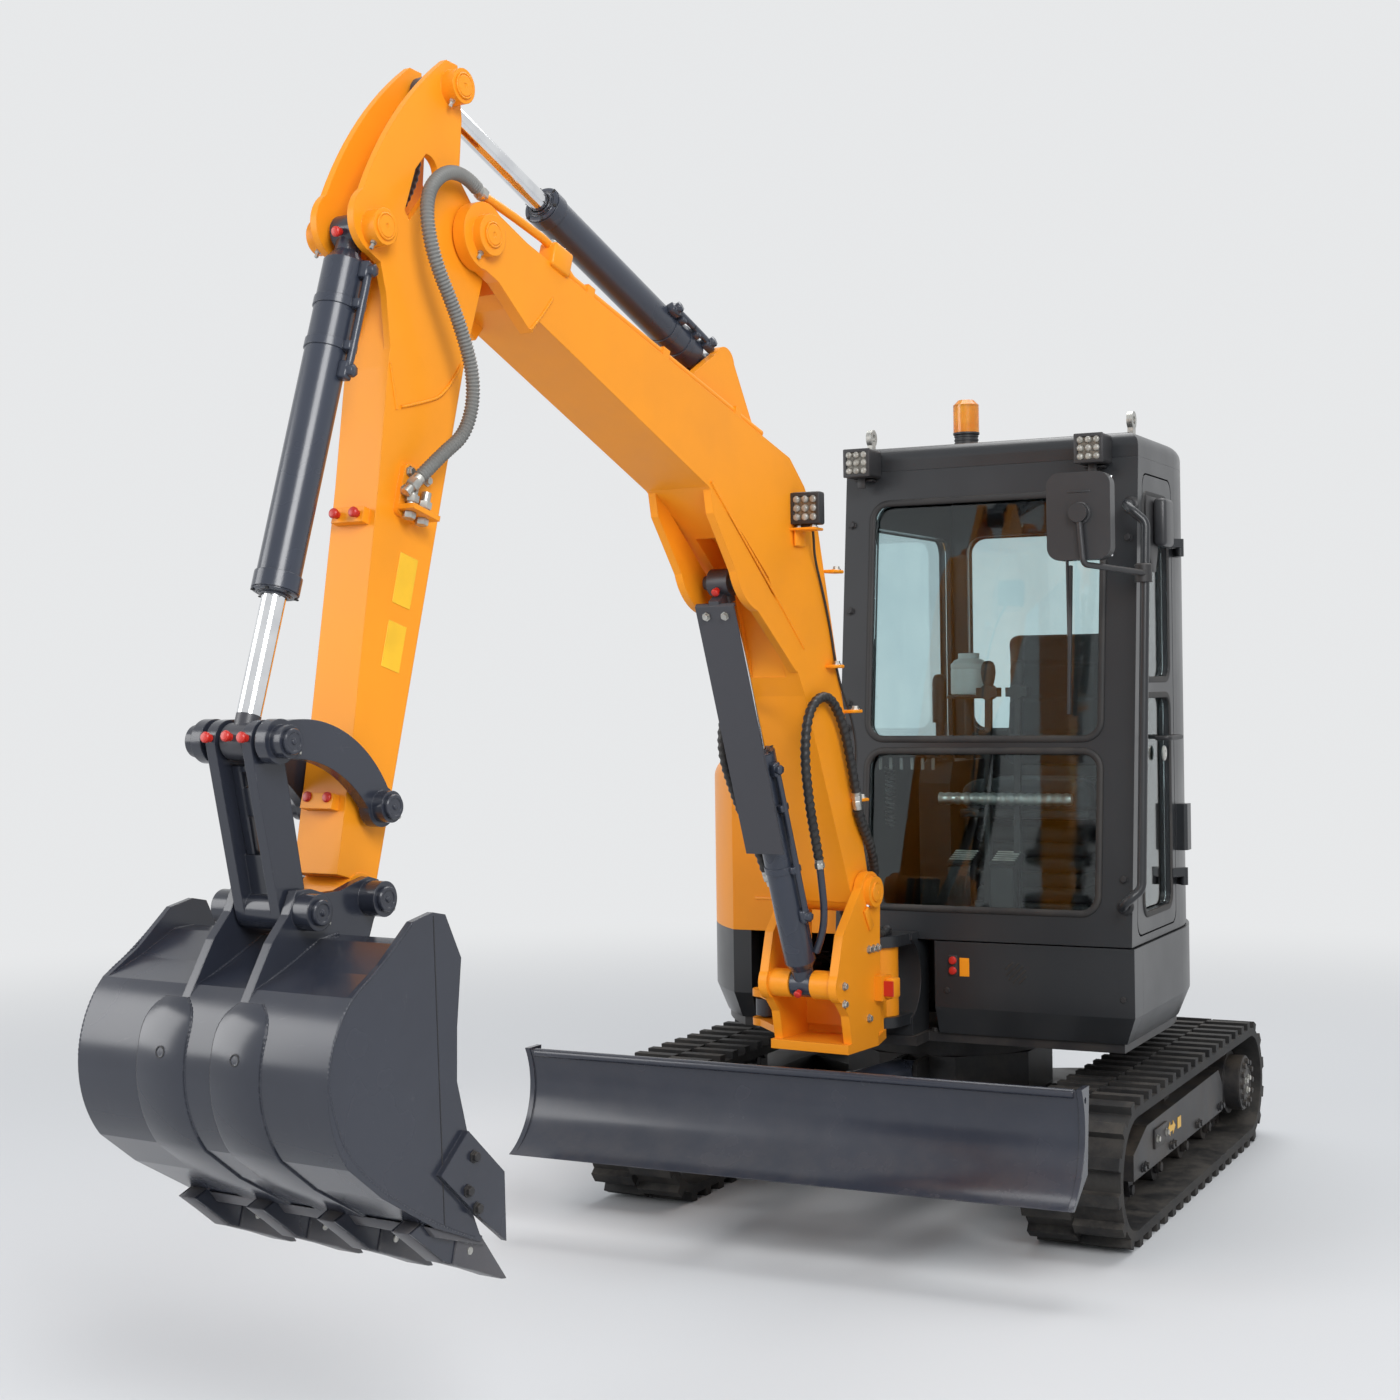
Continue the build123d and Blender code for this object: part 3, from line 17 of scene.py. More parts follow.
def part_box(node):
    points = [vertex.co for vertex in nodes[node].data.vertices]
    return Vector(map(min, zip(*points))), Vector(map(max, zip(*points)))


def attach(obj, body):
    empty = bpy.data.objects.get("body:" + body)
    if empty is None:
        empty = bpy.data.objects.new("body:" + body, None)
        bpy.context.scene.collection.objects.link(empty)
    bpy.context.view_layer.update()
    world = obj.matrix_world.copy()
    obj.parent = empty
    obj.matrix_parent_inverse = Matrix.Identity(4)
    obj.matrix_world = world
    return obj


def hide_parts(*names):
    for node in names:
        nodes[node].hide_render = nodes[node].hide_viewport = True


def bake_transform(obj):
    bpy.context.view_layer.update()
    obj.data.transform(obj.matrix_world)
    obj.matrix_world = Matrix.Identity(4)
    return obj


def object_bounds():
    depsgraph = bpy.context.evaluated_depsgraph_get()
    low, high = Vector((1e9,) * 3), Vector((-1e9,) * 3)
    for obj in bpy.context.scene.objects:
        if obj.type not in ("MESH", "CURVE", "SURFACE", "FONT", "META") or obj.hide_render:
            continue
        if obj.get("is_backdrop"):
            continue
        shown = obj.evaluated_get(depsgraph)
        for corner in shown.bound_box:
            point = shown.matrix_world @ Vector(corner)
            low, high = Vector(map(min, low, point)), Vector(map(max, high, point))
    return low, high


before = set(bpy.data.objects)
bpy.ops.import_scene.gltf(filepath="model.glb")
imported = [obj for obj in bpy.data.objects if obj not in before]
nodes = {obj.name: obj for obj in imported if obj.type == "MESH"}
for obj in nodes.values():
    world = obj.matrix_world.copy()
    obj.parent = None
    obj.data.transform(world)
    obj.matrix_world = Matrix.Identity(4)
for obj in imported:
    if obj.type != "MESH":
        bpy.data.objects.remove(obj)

cad_low, cad_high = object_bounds()
print(len(nodes), "pieces from CAD, size", [round(v, 3) for v in cad_high - cad_low])

# %% [markdown]
# ## The places that matter
# Every pin of the boom group lies in one upright plane through the swing axis.
# A point there is given as a distance in front of that axis, a height, and a
# distance to the machine's left. One helper turns such a point into a place in
# the scene, so a bolt or a hose is put down in the same words as on a drawing.

# %% Pins and helpers for places
slew_y = 1.366                                   # slewing axis behind the origin
swing_axis = Vector((0.036, slew_y - 0.765, 0))
swing_turn = radians(-5.8)
ahead = Vector((sin(swing_turn), -cos(swing_turn), 0))
leftward = Vector((cos(swing_turn), sin(swing_turn), 0))
up = Vector((0, 0, 1))


def boom_point(reach, height, left=0.0):
    """A place in the boom group's upright plane."""
    return swing_axis + ahead * reach + leftward * left + up * height


def boom_line(spots):
    """Places in that plane from (reach, height, left) triples."""
    return [boom_point(*spot) for spot in spots]


def from_pin(pin, angle, step, aside):
    """A pin's (reach, height) moved along an angle and square to it."""
    a = radians(angle)
    return (pin[0] + step * cos(a) - aside * sin(a), pin[1] + step * sin(a) + aside * cos(a))


boom_angle, arm_angle, bucket_angle = 42.9, -74.1, -2.7
pins = {"foot": (0.276, 1.043)}
pins["elbow"] = from_pin(pins["foot"], boom_angle, 2.431, 0)
pins["boom_low"] = from_pin(pins["foot"], boom_angle, -0.050, -0.311)
pins["boom_high"] = from_pin(pins["foot"], boom_angle, 1.060, 0.253)
pins["arm_base"] = from_pin(pins["foot"], boom_angle, 1.524, 0.622)
pins["arm_head"] = from_pin(pins["elbow"], arm_angle, -0.297, 0.155)
pins["bucket_base"] = from_pin(pins["elbow"], arm_angle, 0.130, 0.320)
pins["guide"] = from_pin(pins["elbow"], arm_angle, 1.340, 0.024)
pins["knuckle"] = from_pin(pins["elbow"], arm_angle, 1.282, 0.358)
pins["tip"] = from_pin(pins["elbow"], arm_angle, 1.534, 0)
pins["hanger"] = from_pin(pins["tip"], bucket_angle, 0.202, 0)
for name, (reach, height) in pins.items():
    print(f"{name:12s} {reach:6.3f} ahead, {height:6.3f} up")


def boom_frame(step, aside, left):
    """A place on the boom: along it, to its back, and to the machine's left."""
    return boom_point(*from_pin(pins["foot"], boom_angle, step, aside), left)


def arm_frame(step, aside, left):
    """A place on the arm: down it, to its front, and to the machine's left."""
    return boom_point(*from_pin(pins["elbow"], arm_angle, step, aside), left)


# %% [markdown]
# ## The camera
# It stands at head height in front of the machine's left corner, and looks
# past the bucket to the cab. The lens is fairly long, so the boom doesn't loom
# over the tracks.

# %% Camera
camera_data = bpy.data.cameras.new("camera")
camera = bpy.data.objects.new("camera", camera_data)
bpy.context.scene.collection.objects.link(camera)
camera.matrix_world = (Matrix.Translation((2.5076, -5.5712, 1.6614))
                       @ Matrix.Rotation(radians(27.2), 4, "Z")
                       @ Matrix.Rotation(radians(89.9), 4, "X")
                       @ Matrix.Rotation(radians(-0.8), 4, "Z"))
camera_data.sensor_width = 36
camera_data.lens = 54.44
camera_data.shift_x, camera_data.shift_y = 0.0194, -0.0066
camera_data.clip_end = 60
bpy.context.scene.camera = camera

# %% [markdown]
# ## The studio
# A plain pale floor and a pale world stand in for a studio's cove. Three large
# soft lamps light the machine from its front left, from its front right, and
# from above.


# %% Floor
def clear_selection():
    """Deselects everything, so that an operator works on the next piece alone."""
    if bpy.context.object and bpy.context.object.mode != "OBJECT":
        bpy.ops.object.mode_set(mode="OBJECT")
    bpy.ops.object.select_all(action="DESELECT")


def seen_directly(tree):
    """1 for rays of the camera, of mirror-like metal and of glass, otherwise 0."""
    path = tree.nodes.new("ShaderNodeLightPath")
    total = path.outputs["Is Camera Ray"]
    for ray in ("Is Glossy Ray", "Is Transmission Ray"):
        plus = tree.nodes.new("ShaderNodeMath")
        plus.operation, plus.use_clamp = "ADD", True
        tree.links.new(total, plus.inputs[0])
        tree.links.new(path.outputs[ray], plus.inputs[1])
        total = plus.outputs[0]
    return total


clear_selection()
bpy.ops.mesh.primitive_plane_add(size=80, location=(0, 0, min(cad_low.z, 0) - 0.0005))
floor = bpy.context.object
floor.name = "floor"
floor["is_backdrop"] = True

# near the machine the floor takes light and shadow; far away it fades into the
# same plain pale as the world, so that no horizon shows
pale_colour = (0.80, 0.81, 0.82, 1)
pale = bpy.data.materials.new("pale_floor")
pale.use_nodes = True
tree = pale.node_tree
shade = tree.nodes["Principled BSDF"]
shade.inputs["Base Color"].default_value = (0.66, 0.67, 0.68, 1)
shade.inputs["Roughness"].default_value = 0.8
shade.inputs["Specular IOR Level"].default_value = 0.2
place = tree.nodes.new("ShaderNodeTexCoord")
far = tree.nodes.new("ShaderNodeVectorMath")
far.operation = "LENGTH"
tree.links.new(place.outputs["Object"], far.inputs[0])
fade = tree.nodes.new("ShaderNodeMapRange")
fade.interpolation_type = "SMOOTHSTEP"
fade.inputs["From Min"].default_value, fade.inputs["From Max"].default_value = 2.6, 9.0
tree.links.new(far.outputs["Value"], fade.inputs["Value"])
glow = tree.nodes.new("ShaderNodeEmission")
glow.inputs["Color"].default_value = pale_colour
share = tree.nodes.new("ShaderNodeMath")
share.operation = "MULTIPLY"
tree.links.new(fade.outputs["Result"], share.inputs[0])
tree.links.new(seen_directly(tree), share.inputs[1])
blend_in = tree.nodes.new("ShaderNodeMixShader")
tree.links.new(share.outputs[0], blend_in.inputs["Fac"])
tree.links.new(shade.outputs[0], blend_in.inputs[1])
tree.links.new(glow.outputs[0], blend_in.inputs[2])
tree.links.new(blend_in.outputs[0], tree.nodes["Material Output"].inputs["Surface"])
floor.data.materials.append(pale)

# %% World and lamps
bpy.context.scene.view_settings.view_transform = "Standard"
world = bpy.data.worlds.new("pale_world")
world.use_nodes = True
bpy.context.scene.world = world
tree = world.node_tree
sky = tree.nodes["Background"]
sky.inputs["Color"].default_value = (0.80, 0.84, 0.90, 1)
sky.inputs["Strength"].default_value = 0.50
seen = tree.nodes.new("ShaderNodeBackground")
seen.inputs["Color"].default_value = pale_colour
mix = tree.nodes.new("ShaderNodeMixShader")
tree.links.new(seen_directly(tree), mix.inputs["Fac"])
tree.links.new(sky.outputs[0], mix.inputs[1])
tree.links.new(seen.outputs[0], mix.inputs[2])
tree.links.new(mix.outputs[0], tree.nodes["World Output"].inputs["Surface"])

# columns: name, place, aim, width, watts
lamps = (("key", (5.5, -6.5, 6.0), (0, 0, 1.2), 4.0, 560),
         ("fill", (-6.0, -5.0, 3.5), (0, 0, 1.4), 4.0, 210),
         ("top", (0.5, 2.5, 7.5), (0, 0, 1.0), 5.0, 300))
for name, place, aim, width, watts in lamps:
    clear_selection()
    bpy.ops.object.light_add(type="AREA", location=place)
    lamp = bpy.context.object
    lamp.name = name
    lamp.data.size, lamp.data.energy = width, watts
    lamp.rotation_euler = (Vector(aim) - Vector(place)).to_track_quat("-Z", "Y").to_euler()

# %% [markdown]
# ## Effects that several finishes share
# Paint on a working machine isn't one flat colour. It has a faint orange peel
# from the spray gun, soft clouds of uneven gloss, dust that settles on faces
# that look up, and bright or dark wear along its edges. Each effect is a node
# group of its own, built once here and placed in every finish that needs it.


# %% A helper that builds a node group
def effect(name, inputs, outputs):
    """An empty shader node group with named sockets, and its two end nodes."""
    group = bpy.data.node_groups.new(name, "ShaderNodeTree")
    for title, kind, value in inputs:
        socket = group.interface.new_socket(title, in_out="INPUT", socket_type=kind)
        socket.default_value = value
    for title, kind in outputs:
        group.interface.new_socket(title, in_out="OUTPUT", socket_type=kind)
    return group, group.nodes.new("NodeGroupInput"), group.nodes.new("NodeGroupOutput")


def add_node(tree, kind, values=None, **settings):
    """A node with its settings, and its sockets given as values or links."""
    node = tree.nodes.new(kind)
    for key, value in settings.items():
        setattr(node, key, value)
    for key, value in (values or {}).items():
        if isinstance(value, bpy.types.NodeSocket):
            tree.links.new(value, node.inputs[key])
        else:
            node.inputs[key].default_value = value
    return node


def maths(tree, operation, first, second=0.0, third=0.0, clamp=False):
    """What a math node puts out."""
    node = add_node(tree, "ShaderNodeMath", {0: first, 1: second, 2: third}, operation=operation)
    node.use_clamp = clamp
    return node.outputs[0]


def smooth_step(tree, value, low, high):
    """0 below the low value, 1 above the high one, and a soft rise between."""
    return add_node(tree, "ShaderNodeMapRange", {"Value": value, "From Min": low, "From Max": high},
                    interpolation_type="SMOOTHSTEP").outputs["Result"]


# %% Clouds: a soft mottle that shifts colour and gloss
clouds, given, made = effect("clouds",
                             [("Scale", "NodeSocketFloat", 3.0), ("Detail", "NodeSocketFloat", 4.0)],
                             [("Value", "NodeSocketFloat")])
place = add_node(clouds, "ShaderNodeTexCoord")
noise = add_node(clouds, "ShaderNodeTexNoise",
                 {"Vector": place.outputs["Object"], "Scale": given.outputs["Scale"],
                  "Detail": given.outputs["Detail"], "Roughness": 0.55})
clouds.links.new(smooth_step(clouds, noise.outputs["Fac"], 0.3, 0.7), made.inputs["Value"])

# %% Dust: it lies on faces that look up, and more of it near the ground
dust, given, made = effect("dust", [("Amount", "NodeSocketFloat", 0.3), ("Reach", "NodeSocketFloat", 0.8)],
                           [("Mask", "NodeSocketFloat")])
shape = add_node(dust, "ShaderNodeNewGeometry")
place = add_node(dust, "ShaderNodeTexCoord")
upright = add_node(dust, "ShaderNodeSeparateXYZ", {0: shape.outputs["Normal"]}).outputs["Z"]
height = add_node(dust, "ShaderNodeSeparateXYZ", {0: place.outputs["Object"]}).outputs["Z"]
flat = smooth_step(dust, upright, 0.2, 1.0)
low_down = maths(dust, "SUBTRACT", 1.0, maths(dust, "DIVIDE", height, given.outputs["Reach"]), clamp=True)
patches = add_node(dust, "ShaderNodeTexNoise", {"Vector": place.outputs["Object"], "Scale": 9.0,
                                                "Detail": 7.0, "Roughness": 0.65}).outputs["Fac"]
lying = maths(dust, "ADD", maths(dust, "MULTIPLY", flat, 0.7), maths(dust, "MULTIPLY", low_down, 0.8))
lying = maths(dust, "MULTIPLY", lying, smooth_step(dust, patches, 0.36, 0.66))
dust.links.new(maths(dust, "MULTIPLY", lying, given.outputs["Amount"], clamp=True), made.inputs["Mask"])

# %% Edges: a bevelled normal, and a mask where it differs from the flat one
edges, given, made = effect("edges", [("Radius", "NodeSocketFloat", 0.003), ("Wear", "NodeSocketFloat", 0.3)],
                            [("Normal", "NodeSocketVector"), ("Mask", "NodeSocketFloat")])
rounded = add_node(edges, "ShaderNodeBevel", {"Radius": given.outputs["Radius"]}, samples=4)
shape = add_node(edges, "ShaderNodeNewGeometry")
alike = add_node(edges, "ShaderNodeVectorMath", {0: rounded.outputs[0], 1: shape.outputs["Normal"]},
                 operation="DOT_PRODUCT").outputs["Value"]
place = add_node(edges, "ShaderNodeTexCoord")
chips = add_node(edges, "ShaderNodeTexNoise", {"Vector": place.outputs["Object"], "Scale": 38.0,
                                               "Detail": 6.0, "Roughness": 0.7}).outputs["Fac"]
edge = maths(edges, "MULTIPLY", maths(edges, "SUBTRACT", 1.0, alike), 6.0, clamp=True)
worn = maths(edges, "MULTIPLY", edge, smooth_step(edges, chips, 0.5, 0.62))
edges.links.new(maths(edges, "MULTIPLY", worn, given.outputs["Wear"], clamp=True), made.inputs["Mask"])
edges.links.new(rounded.outputs[0], made.inputs["Normal"])

# %% Peel: the fine ripple that a spray gun leaves, or a moulded grain
peel, given, made = effect("peel", [("Scale", "NodeSocketFloat", 260.0), ("Depth", "NodeSocketFloat", 1.0)],
                           [("Height", "NodeSocketFloat")])
place = add_node(peel, "ShaderNodeTexCoord")
ripple = add_node(peel, "ShaderNodeTexNoise",
                  {"Vector": place.outputs["Object"], "Scale": given.outputs["Scale"], "Detail": 1.0})
peel.links.new(maths(peel, "MULTIPLY", ripple.outputs["Fac"], given.outputs["Depth"]), made.inputs["Height"])

# %% Scratches: thin crossing lines where earth has rubbed
scratches, given, made = effect("scratches",
                                [("Scale", "NodeSocketFloat", 12.0), ("Amount", "NodeSocketFloat", 0.4)],
                                [("Mask", "NodeSocketFloat")])
place = add_node(scratches, "ShaderNodeTexCoord")
total = None
for stretch, turn in (((1, 14, 1), 0.4), ((14, 1, 1), -0.5), ((1, 1, 16), 0.2)):
    laid = add_node(scratches, "ShaderNodeMapping", {"Vector": place.outputs["Object"], "Scale": stretch,
                                                     "Rotation": (turn, turn, turn)})
    lines = add_node(scratches, "ShaderNodeTexNoise",
                     {"Vector": laid.outputs[0], "Scale": given.outputs["Scale"], "Detail": 5.0,
                      "Roughness": 0.8}).outputs["Fac"]
    thin = smooth_step(scratches, lines, 0.64, 0.72)
    total = thin if total is None else maths(scratches, "MAXIMUM", total, thin)
scratches.links.new(maths(scratches, "MULTIPLY", total, given.outputs["Amount"], clamp=True),
                    made.inputs["Mask"])


# %% [markdown]
# ## Paint
# One recipe serves every painted piece. Its colour is clouded a little, dusted
# where it looks up, and worn at its edges to primer or bare steel. Roughness
# follows the same masks, because dust is dull and rubbed steel shines.


# %% The paint recipe
def use(tree, group, **values):
    """Places a node group in a material, with its own values."""
    node = tree.nodes.new("ShaderNodeGroup")
    node.node_tree = group
    for key, value in values.items():
        node.inputs[key].default_value = value
    return node.outputs


def mixed(tree, mask, first, second):
    """Two colours mixed by a mask."""
    node = add_node(tree, "ShaderNodeMix", {"Factor": mask}, data_type="RGBA")
    for slot, value in ((6, first), (7, second)):
        if isinstance(value, bpy.types.NodeSocket):
            tree.links.new(value, node.inputs[slot])
        else:
            node.inputs[slot].default_value = (*value, 1)
    return node.outputs[2]


def blank(name, roughness=0.5, **sockets):
    """A new material and its Principled shader, with plain values set."""
    material = bpy.data.materials.new(name)
    material.use_nodes = True
    shader = material.node_tree.nodes["Principled BSDF"]
    shader.inputs["Roughness"].default_value = roughness
    for title, value in sockets.items():
        shader.inputs[title.replace("_", " ")].default_value = value
    return material, material.node_tree, shader


soil = (0.235, 0.185, 0.135)
steel = (0.42, 0.41, 0.40)


def paint(name, colour, gloss=0.30, shift=0.06, dusty=0.25, wear=0.25, edge=0.003, worn_to=steel,
          scratched=0.0, coat=0.25, grain=260.0, depth=0.5, specular=0.4):
    """A sprayed finish: clouds, scratches, edge wear, dust and orange peel."""
    material, tree, shader = blank(name, gloss, Coat_Weight=coat, Coat_Roughness=0.18,
                                   Specular_IOR_Level=specular)
    cloud = use(tree, clouds, Scale=2.2)["Value"]
    deep = tuple(c * (1 - shift * 2) for c in colour)
    light = tuple(min(c * (1 + shift), 1) for c in colour)
    tint = mixed(tree, cloud, deep, light)
    edge_out = use(tree, edges, Radius=edge, Wear=wear)
    tint = mixed(tree, edge_out["Mask"], tint, worn_to)
    rub = use(tree, scratches, Scale=7.0, Amount=scratched)["Mask"] if scratched else None
    if rub is not None:
        tint = mixed(tree, rub, tint, tuple(0.5 * c + 0.12 for c in colour))
    lying = use(tree, dust, Amount=dusty, Reach=0.9)["Mask"]
    tint = mixed(tree, lying, tint, soil)
    tree.links.new(tint, shader.inputs["Base Color"])
    rough = maths(tree, "MULTIPLY_ADD", cloud, 0.10, gloss - 0.05)
    rough = maths(tree, "MULTIPLY_ADD", lying, 0.5, rough, clamp=True)
    tree.links.new(rough, shader.inputs["Roughness"])
    bump = add_node(tree, "ShaderNodeBump",
                    {"Height": use(tree, peel, Scale=grain, Depth=depth)["Height"], "Strength": 0.12,
                     "Distance": 0.0006, "Normal": edge_out["Normal"]})
    tree.links.new(bump.outputs[0], shader.inputs["Normal"])
    return material


orange_paint = paint("orange_paint", (0.94, 0.325, 0.014), gloss=0.40, shift=0.03, dusty=0.04, wear=0.06,
                     worn_to=(0.60, 0.17, 0.01), coat=0.08, specular=0.22)
body_paint = paint("body_paint", (0.021, 0.023, 0.026), gloss=0.34, dusty=0.05, wear=0.12, coat=0.12,
                   worn_to=(0.09, 0.09, 0.10))
bucket_paint = paint("bucket_paint", (0.028, 0.032, 0.046), gloss=0.24, dusty=0.05, wear=0.30, edge=0.004,
                     worn_to=(0.13, 0.13, 0.15), scratched=0.10, coat=0.30)
cylinder_paint = paint("cylinder_paint", (0.032, 0.039, 0.058), gloss=0.28, dusty=0.04, wear=0.15, coat=0.35)
frame_paint = paint("frame_paint", (0.019, 0.019, 0.021), gloss=0.45, dusty=0.22, wear=0.25, coat=0.05,
                    worn_to=(0.10, 0.10, 0.10))
tooth_steel = paint("tooth_steel", (0.075, 0.075, 0.085), gloss=0.38, dusty=0.2, wear=0.8, edge=0.005,
                    worn_to=(0.30, 0.30, 0.31), scratched=0.5, coat=0.1)
print("paints:", [m.name for m in bpy.data.materials if m.name.endswith("paint")])

# %% [markdown]
# ## Chrome rods
# A cylinder's rod is hard-chromed and ground, so it mirrors its surroundings
# with a very fine ring pattern, and it carries a thin film of oil. The same CAD
# piece also holds the painted eye at its end, so one finish serves both: a mask
# tells rod from eye by the distance along the cylinder and away from its axis.


# %% Chrome with a painted eye
def rod_finish(name, start, end, radius, eye=0.055):
    """Chrome inside a radius round the line from start to end, and paint elsewhere."""
    material, tree, shader = blank(name, 0.12)
    place = add_node(tree, "ShaderNodeTexCoord").outputs["Object"]
    line = (end - start).normalized()
    away = add_node(tree, "ShaderNodeVectorMath", {0: place, 1: start}, operation="SUBTRACT").outputs[0]
    crossed = add_node(tree, "ShaderNodeVectorMath", {0: away, 1: line}, operation="CROSS_PRODUCT").outputs[0]
    off_axis = add_node(tree, "ShaderNodeVectorMath", {0: crossed}, operation="LENGTH").outputs["Value"]
    far = add_node(tree, "ShaderNodeVectorMath", {0: away, 1: line}, operation="DOT_PRODUCT").outputs["Value"]
    limit = (end - start).length - eye
    painted = maths(tree, "MAXIMUM", maths(tree, "GREATER_THAN", off_axis, radius + 0.0012),
                    maths(tree, "GREATER_THAN", far, limit))
    rings = add_node(tree, "ShaderNodeTexNoise",
                     {"Vector": add_node(tree, "ShaderNodeCombineXYZ", {0: far}).outputs[0], "Scale": 900.0,
                      "Detail": 2.0}).outputs["Fac"]
    film = use(tree, clouds, Scale=14.0)["Value"]
    tree.links.new(mixed(tree, painted, mixed(tree, film, (0.70, 0.71, 0.73), (0.82, 0.83, 0.84)),
                         (0.045, 0.046, 0.055)), shader.inputs["Base Color"])
    tree.links.new(maths(tree, "SUBTRACT", 1.0, painted), shader.inputs["Metallic"])
    bright = maths(tree, "MULTIPLY_ADD", rings, 0.06, 0.05)
    tree.links.new(maths(tree, "MULTIPLY_ADD", painted, 0.28, bright), shader.inputs["Roughness"])
    bump = add_node(tree, "ShaderNodeBump", {"Height": rings, "Strength": 0.05, "Distance": 0.0002,
                                             "Normal": use(tree, edges, Radius=0.002)["Normal"]})
    tree.links.new(bump.outputs[0], shader.inputs["Normal"])
    return material


# columns: the node's name, where the cylinder starts and ends, the rod's radius
slew = Vector((0, slew_y, 0))
ear = boom_point(0.165, 0.656, -0.298)
rods = (("boom_cylinder_rod", boom_point(*pins["boom_low"]), boom_point(*pins["boom_high"]), 0.025),
        ("arm_cylinder_rod", boom_point(*pins["arm_base"]), boom_point(*pins["arm_head"]), 0.025),
        ("bucket_cylinder_rod", boom_point(*pins["bucket_base"]), boom_point(*pins["knuckle"]), 0.026),
        ("blade_cylinder_rod", slew + Vector((0, -0.410, 0.396)), slew + Vector((0, -1.150, 0.440)), 0.020),
        ("swing_cylinder_rod", slew + Vector((-0.520, 0.120, 0.656)), ear, 0.020))
finishes = {name: rod_finish(name.replace("cylinder_rod", "chrome"), start, end, radius)
            for name, start, end, radius in rods}

# %% [markdown]
# ## Rubber, glass and plastic
# The tracks are dull black rubber, grey with dust where the lugs meet the
# ground. Glass is thin and faintly tinted. Moulded plastic has a fine leathery
# grain, and the warning lamp's dome is clear amber.

# %% Rubber of the tracks
rubber, tree, shader = blank("track_rubber", 0.7, Specular_IOR_Level=0.25)
lying = use(tree, dust, Amount=0.75, Reach=0.7)["Mask"]
edge_out = use(tree, edges, Radius=0.004, Wear=0.6)
tint = mixed(tree, use(tree, clouds, Scale=6.0)["Value"], (0.013, 0.013, 0.014), (0.024, 0.024, 0.024))
tint = mixed(tree, edge_out["Mask"], tint, (0.055, 0.053, 0.050))
tree.links.new(mixed(tree, lying, tint, (0.075, 0.068, 0.060)), shader.inputs["Base Color"])
tree.links.new(maths(tree, "MULTIPLY_ADD", lying, 0.25, 0.62, clamp=True), shader.inputs["Roughness"])
bump = add_node(tree, "ShaderNodeBump", {"Height": use(tree, peel, Scale=140.0, Depth=1.0)["Height"],
                                         "Strength": 0.35, "Distance": 0.0015, "Normal": edge_out["Normal"]})
tree.links.new(bump.outputs[0], shader.inputs["Normal"])

# %% Glass
pane_glass, tree, shader = blank("pane_glass", 0.02, Transmission_Weight=1.0, IOR=1.45)
film = use(tree, clouds, Scale=3.0, Detail=6.0)["Value"]
tree.links.new(mixed(tree, film, (0.74, 0.86, 0.87), (0.66, 0.79, 0.81)), shader.inputs["Base Color"])
tree.links.new(maths(tree, "MULTIPLY_ADD", film, 0.03, 0.005), shader.inputs["Roughness"])


# %% Moulded plastic
def plastic(name, colour, gloss=0.48, grain=700.0, strength=0.25, dusty=0.15):
    """A moulded finish, also for rubber, with a fine grain."""
    material, tree, shader = blank(name, gloss)
    cloud = use(tree, clouds, Scale=5.0)["Value"]
    tint = mixed(tree, cloud, tuple(c * 0.88 for c in colour), tuple(min(c * 1.08, 1) for c in colour))
    lying = use(tree, dust, Amount=dusty, Reach=2.5)["Mask"]
    tree.links.new(mixed(tree, lying, tint, soil), shader.inputs["Base Color"])
    tree.links.new(maths(tree, "MULTIPLY_ADD", lying, 0.3, gloss, clamp=True), shader.inputs["Roughness"])
    bump = add_node(tree, "ShaderNodeBump",
                    {"Height": use(tree, peel, Scale=grain)["Height"], "Strength": strength,
                     "Distance": 0.0004, "Normal": use(tree, edges, Radius=0.002)["Normal"]})
    tree.links.new(bump.outputs[0], shader.inputs["Normal"])
    return material


black_plastic = plastic("black_plastic", (0.022, 0.022, 0.024))
mirror_shell = plastic("mirror_shell", (0.030, 0.031, 0.034), gloss=0.34)
# near-black rubber; the same finish also serves as painted shade in the slots of vents and louvres and in the
# glands' notches
rubber_and_recess_shade = plastic("rubber_and_recess_shade", (0.012, 0.012, 0.013), gloss=0.6, grain=300.0)
hose_rubber = plastic("hose_rubber", (0.014, 0.014, 0.015), gloss=0.45, grain=240.0)
hose_grey = plastic("hose_grey", (0.20, 0.20, 0.19), gloss=0.55, grain=240.0)
white_plastic = plastic("white_plastic", (0.62, 0.68, 0.68), gloss=0.35, dusty=0.05)
red_plastic = plastic("red_plastic", (0.55, 0.02, 0.012), gloss=0.35, dusty=0.05)
yellow_sticker = plastic("yellow_sticker", (0.95, 0.52, 0.01), gloss=0.3, strength=0.05, dusty=0.05)

# %% Zinc, steel and the amber dome
zinc, tree, shader = blank("zinc", 0.35, Metallic=0.85)
tree.links.new(mixed(tree, use(tree, clouds, Scale=30.0)["Value"], (0.36, 0.36, 0.34), (0.58, 0.57, 0.53)),
               shader.inputs["Base Color"])
tree.links.new(maths(tree, "MULTIPLY_ADD", use(tree, clouds, Scale=50.0)["Value"], 0.2, 0.28),
               shader.inputs["Roughness"])
amber, tree, shader = blank("amber_dome", 0.12, Transmission_Weight=0.45, IOR=1.49)
tree.links.new(mixed(tree, use(tree, clouds, Scale=20.0)["Value"], (0.90, 0.28, 0.01), (1.0, 0.42, 0.03)),
               shader.inputs["Base Color"])
lamp_glass, tree, shader = blank("lamp_lens", 0.08, Coat_Weight=0.5)
tree.links.new(mixed(tree, use(tree, clouds, Scale=60.0)["Value"], (0.24, 0.23, 0.20), (0.40, 0.39, 0.35)),
               shader.inputs["Base Color"])
mirror_face, tree, shader = blank("mirror_face", 0.03, Metallic=1.0)
tree.links.new(mixed(tree, use(tree, clouds, Scale=8.0)["Value"], (0.74, 0.75, 0.76), (0.80, 0.81, 0.82)),
               shader.inputs["Base Color"])

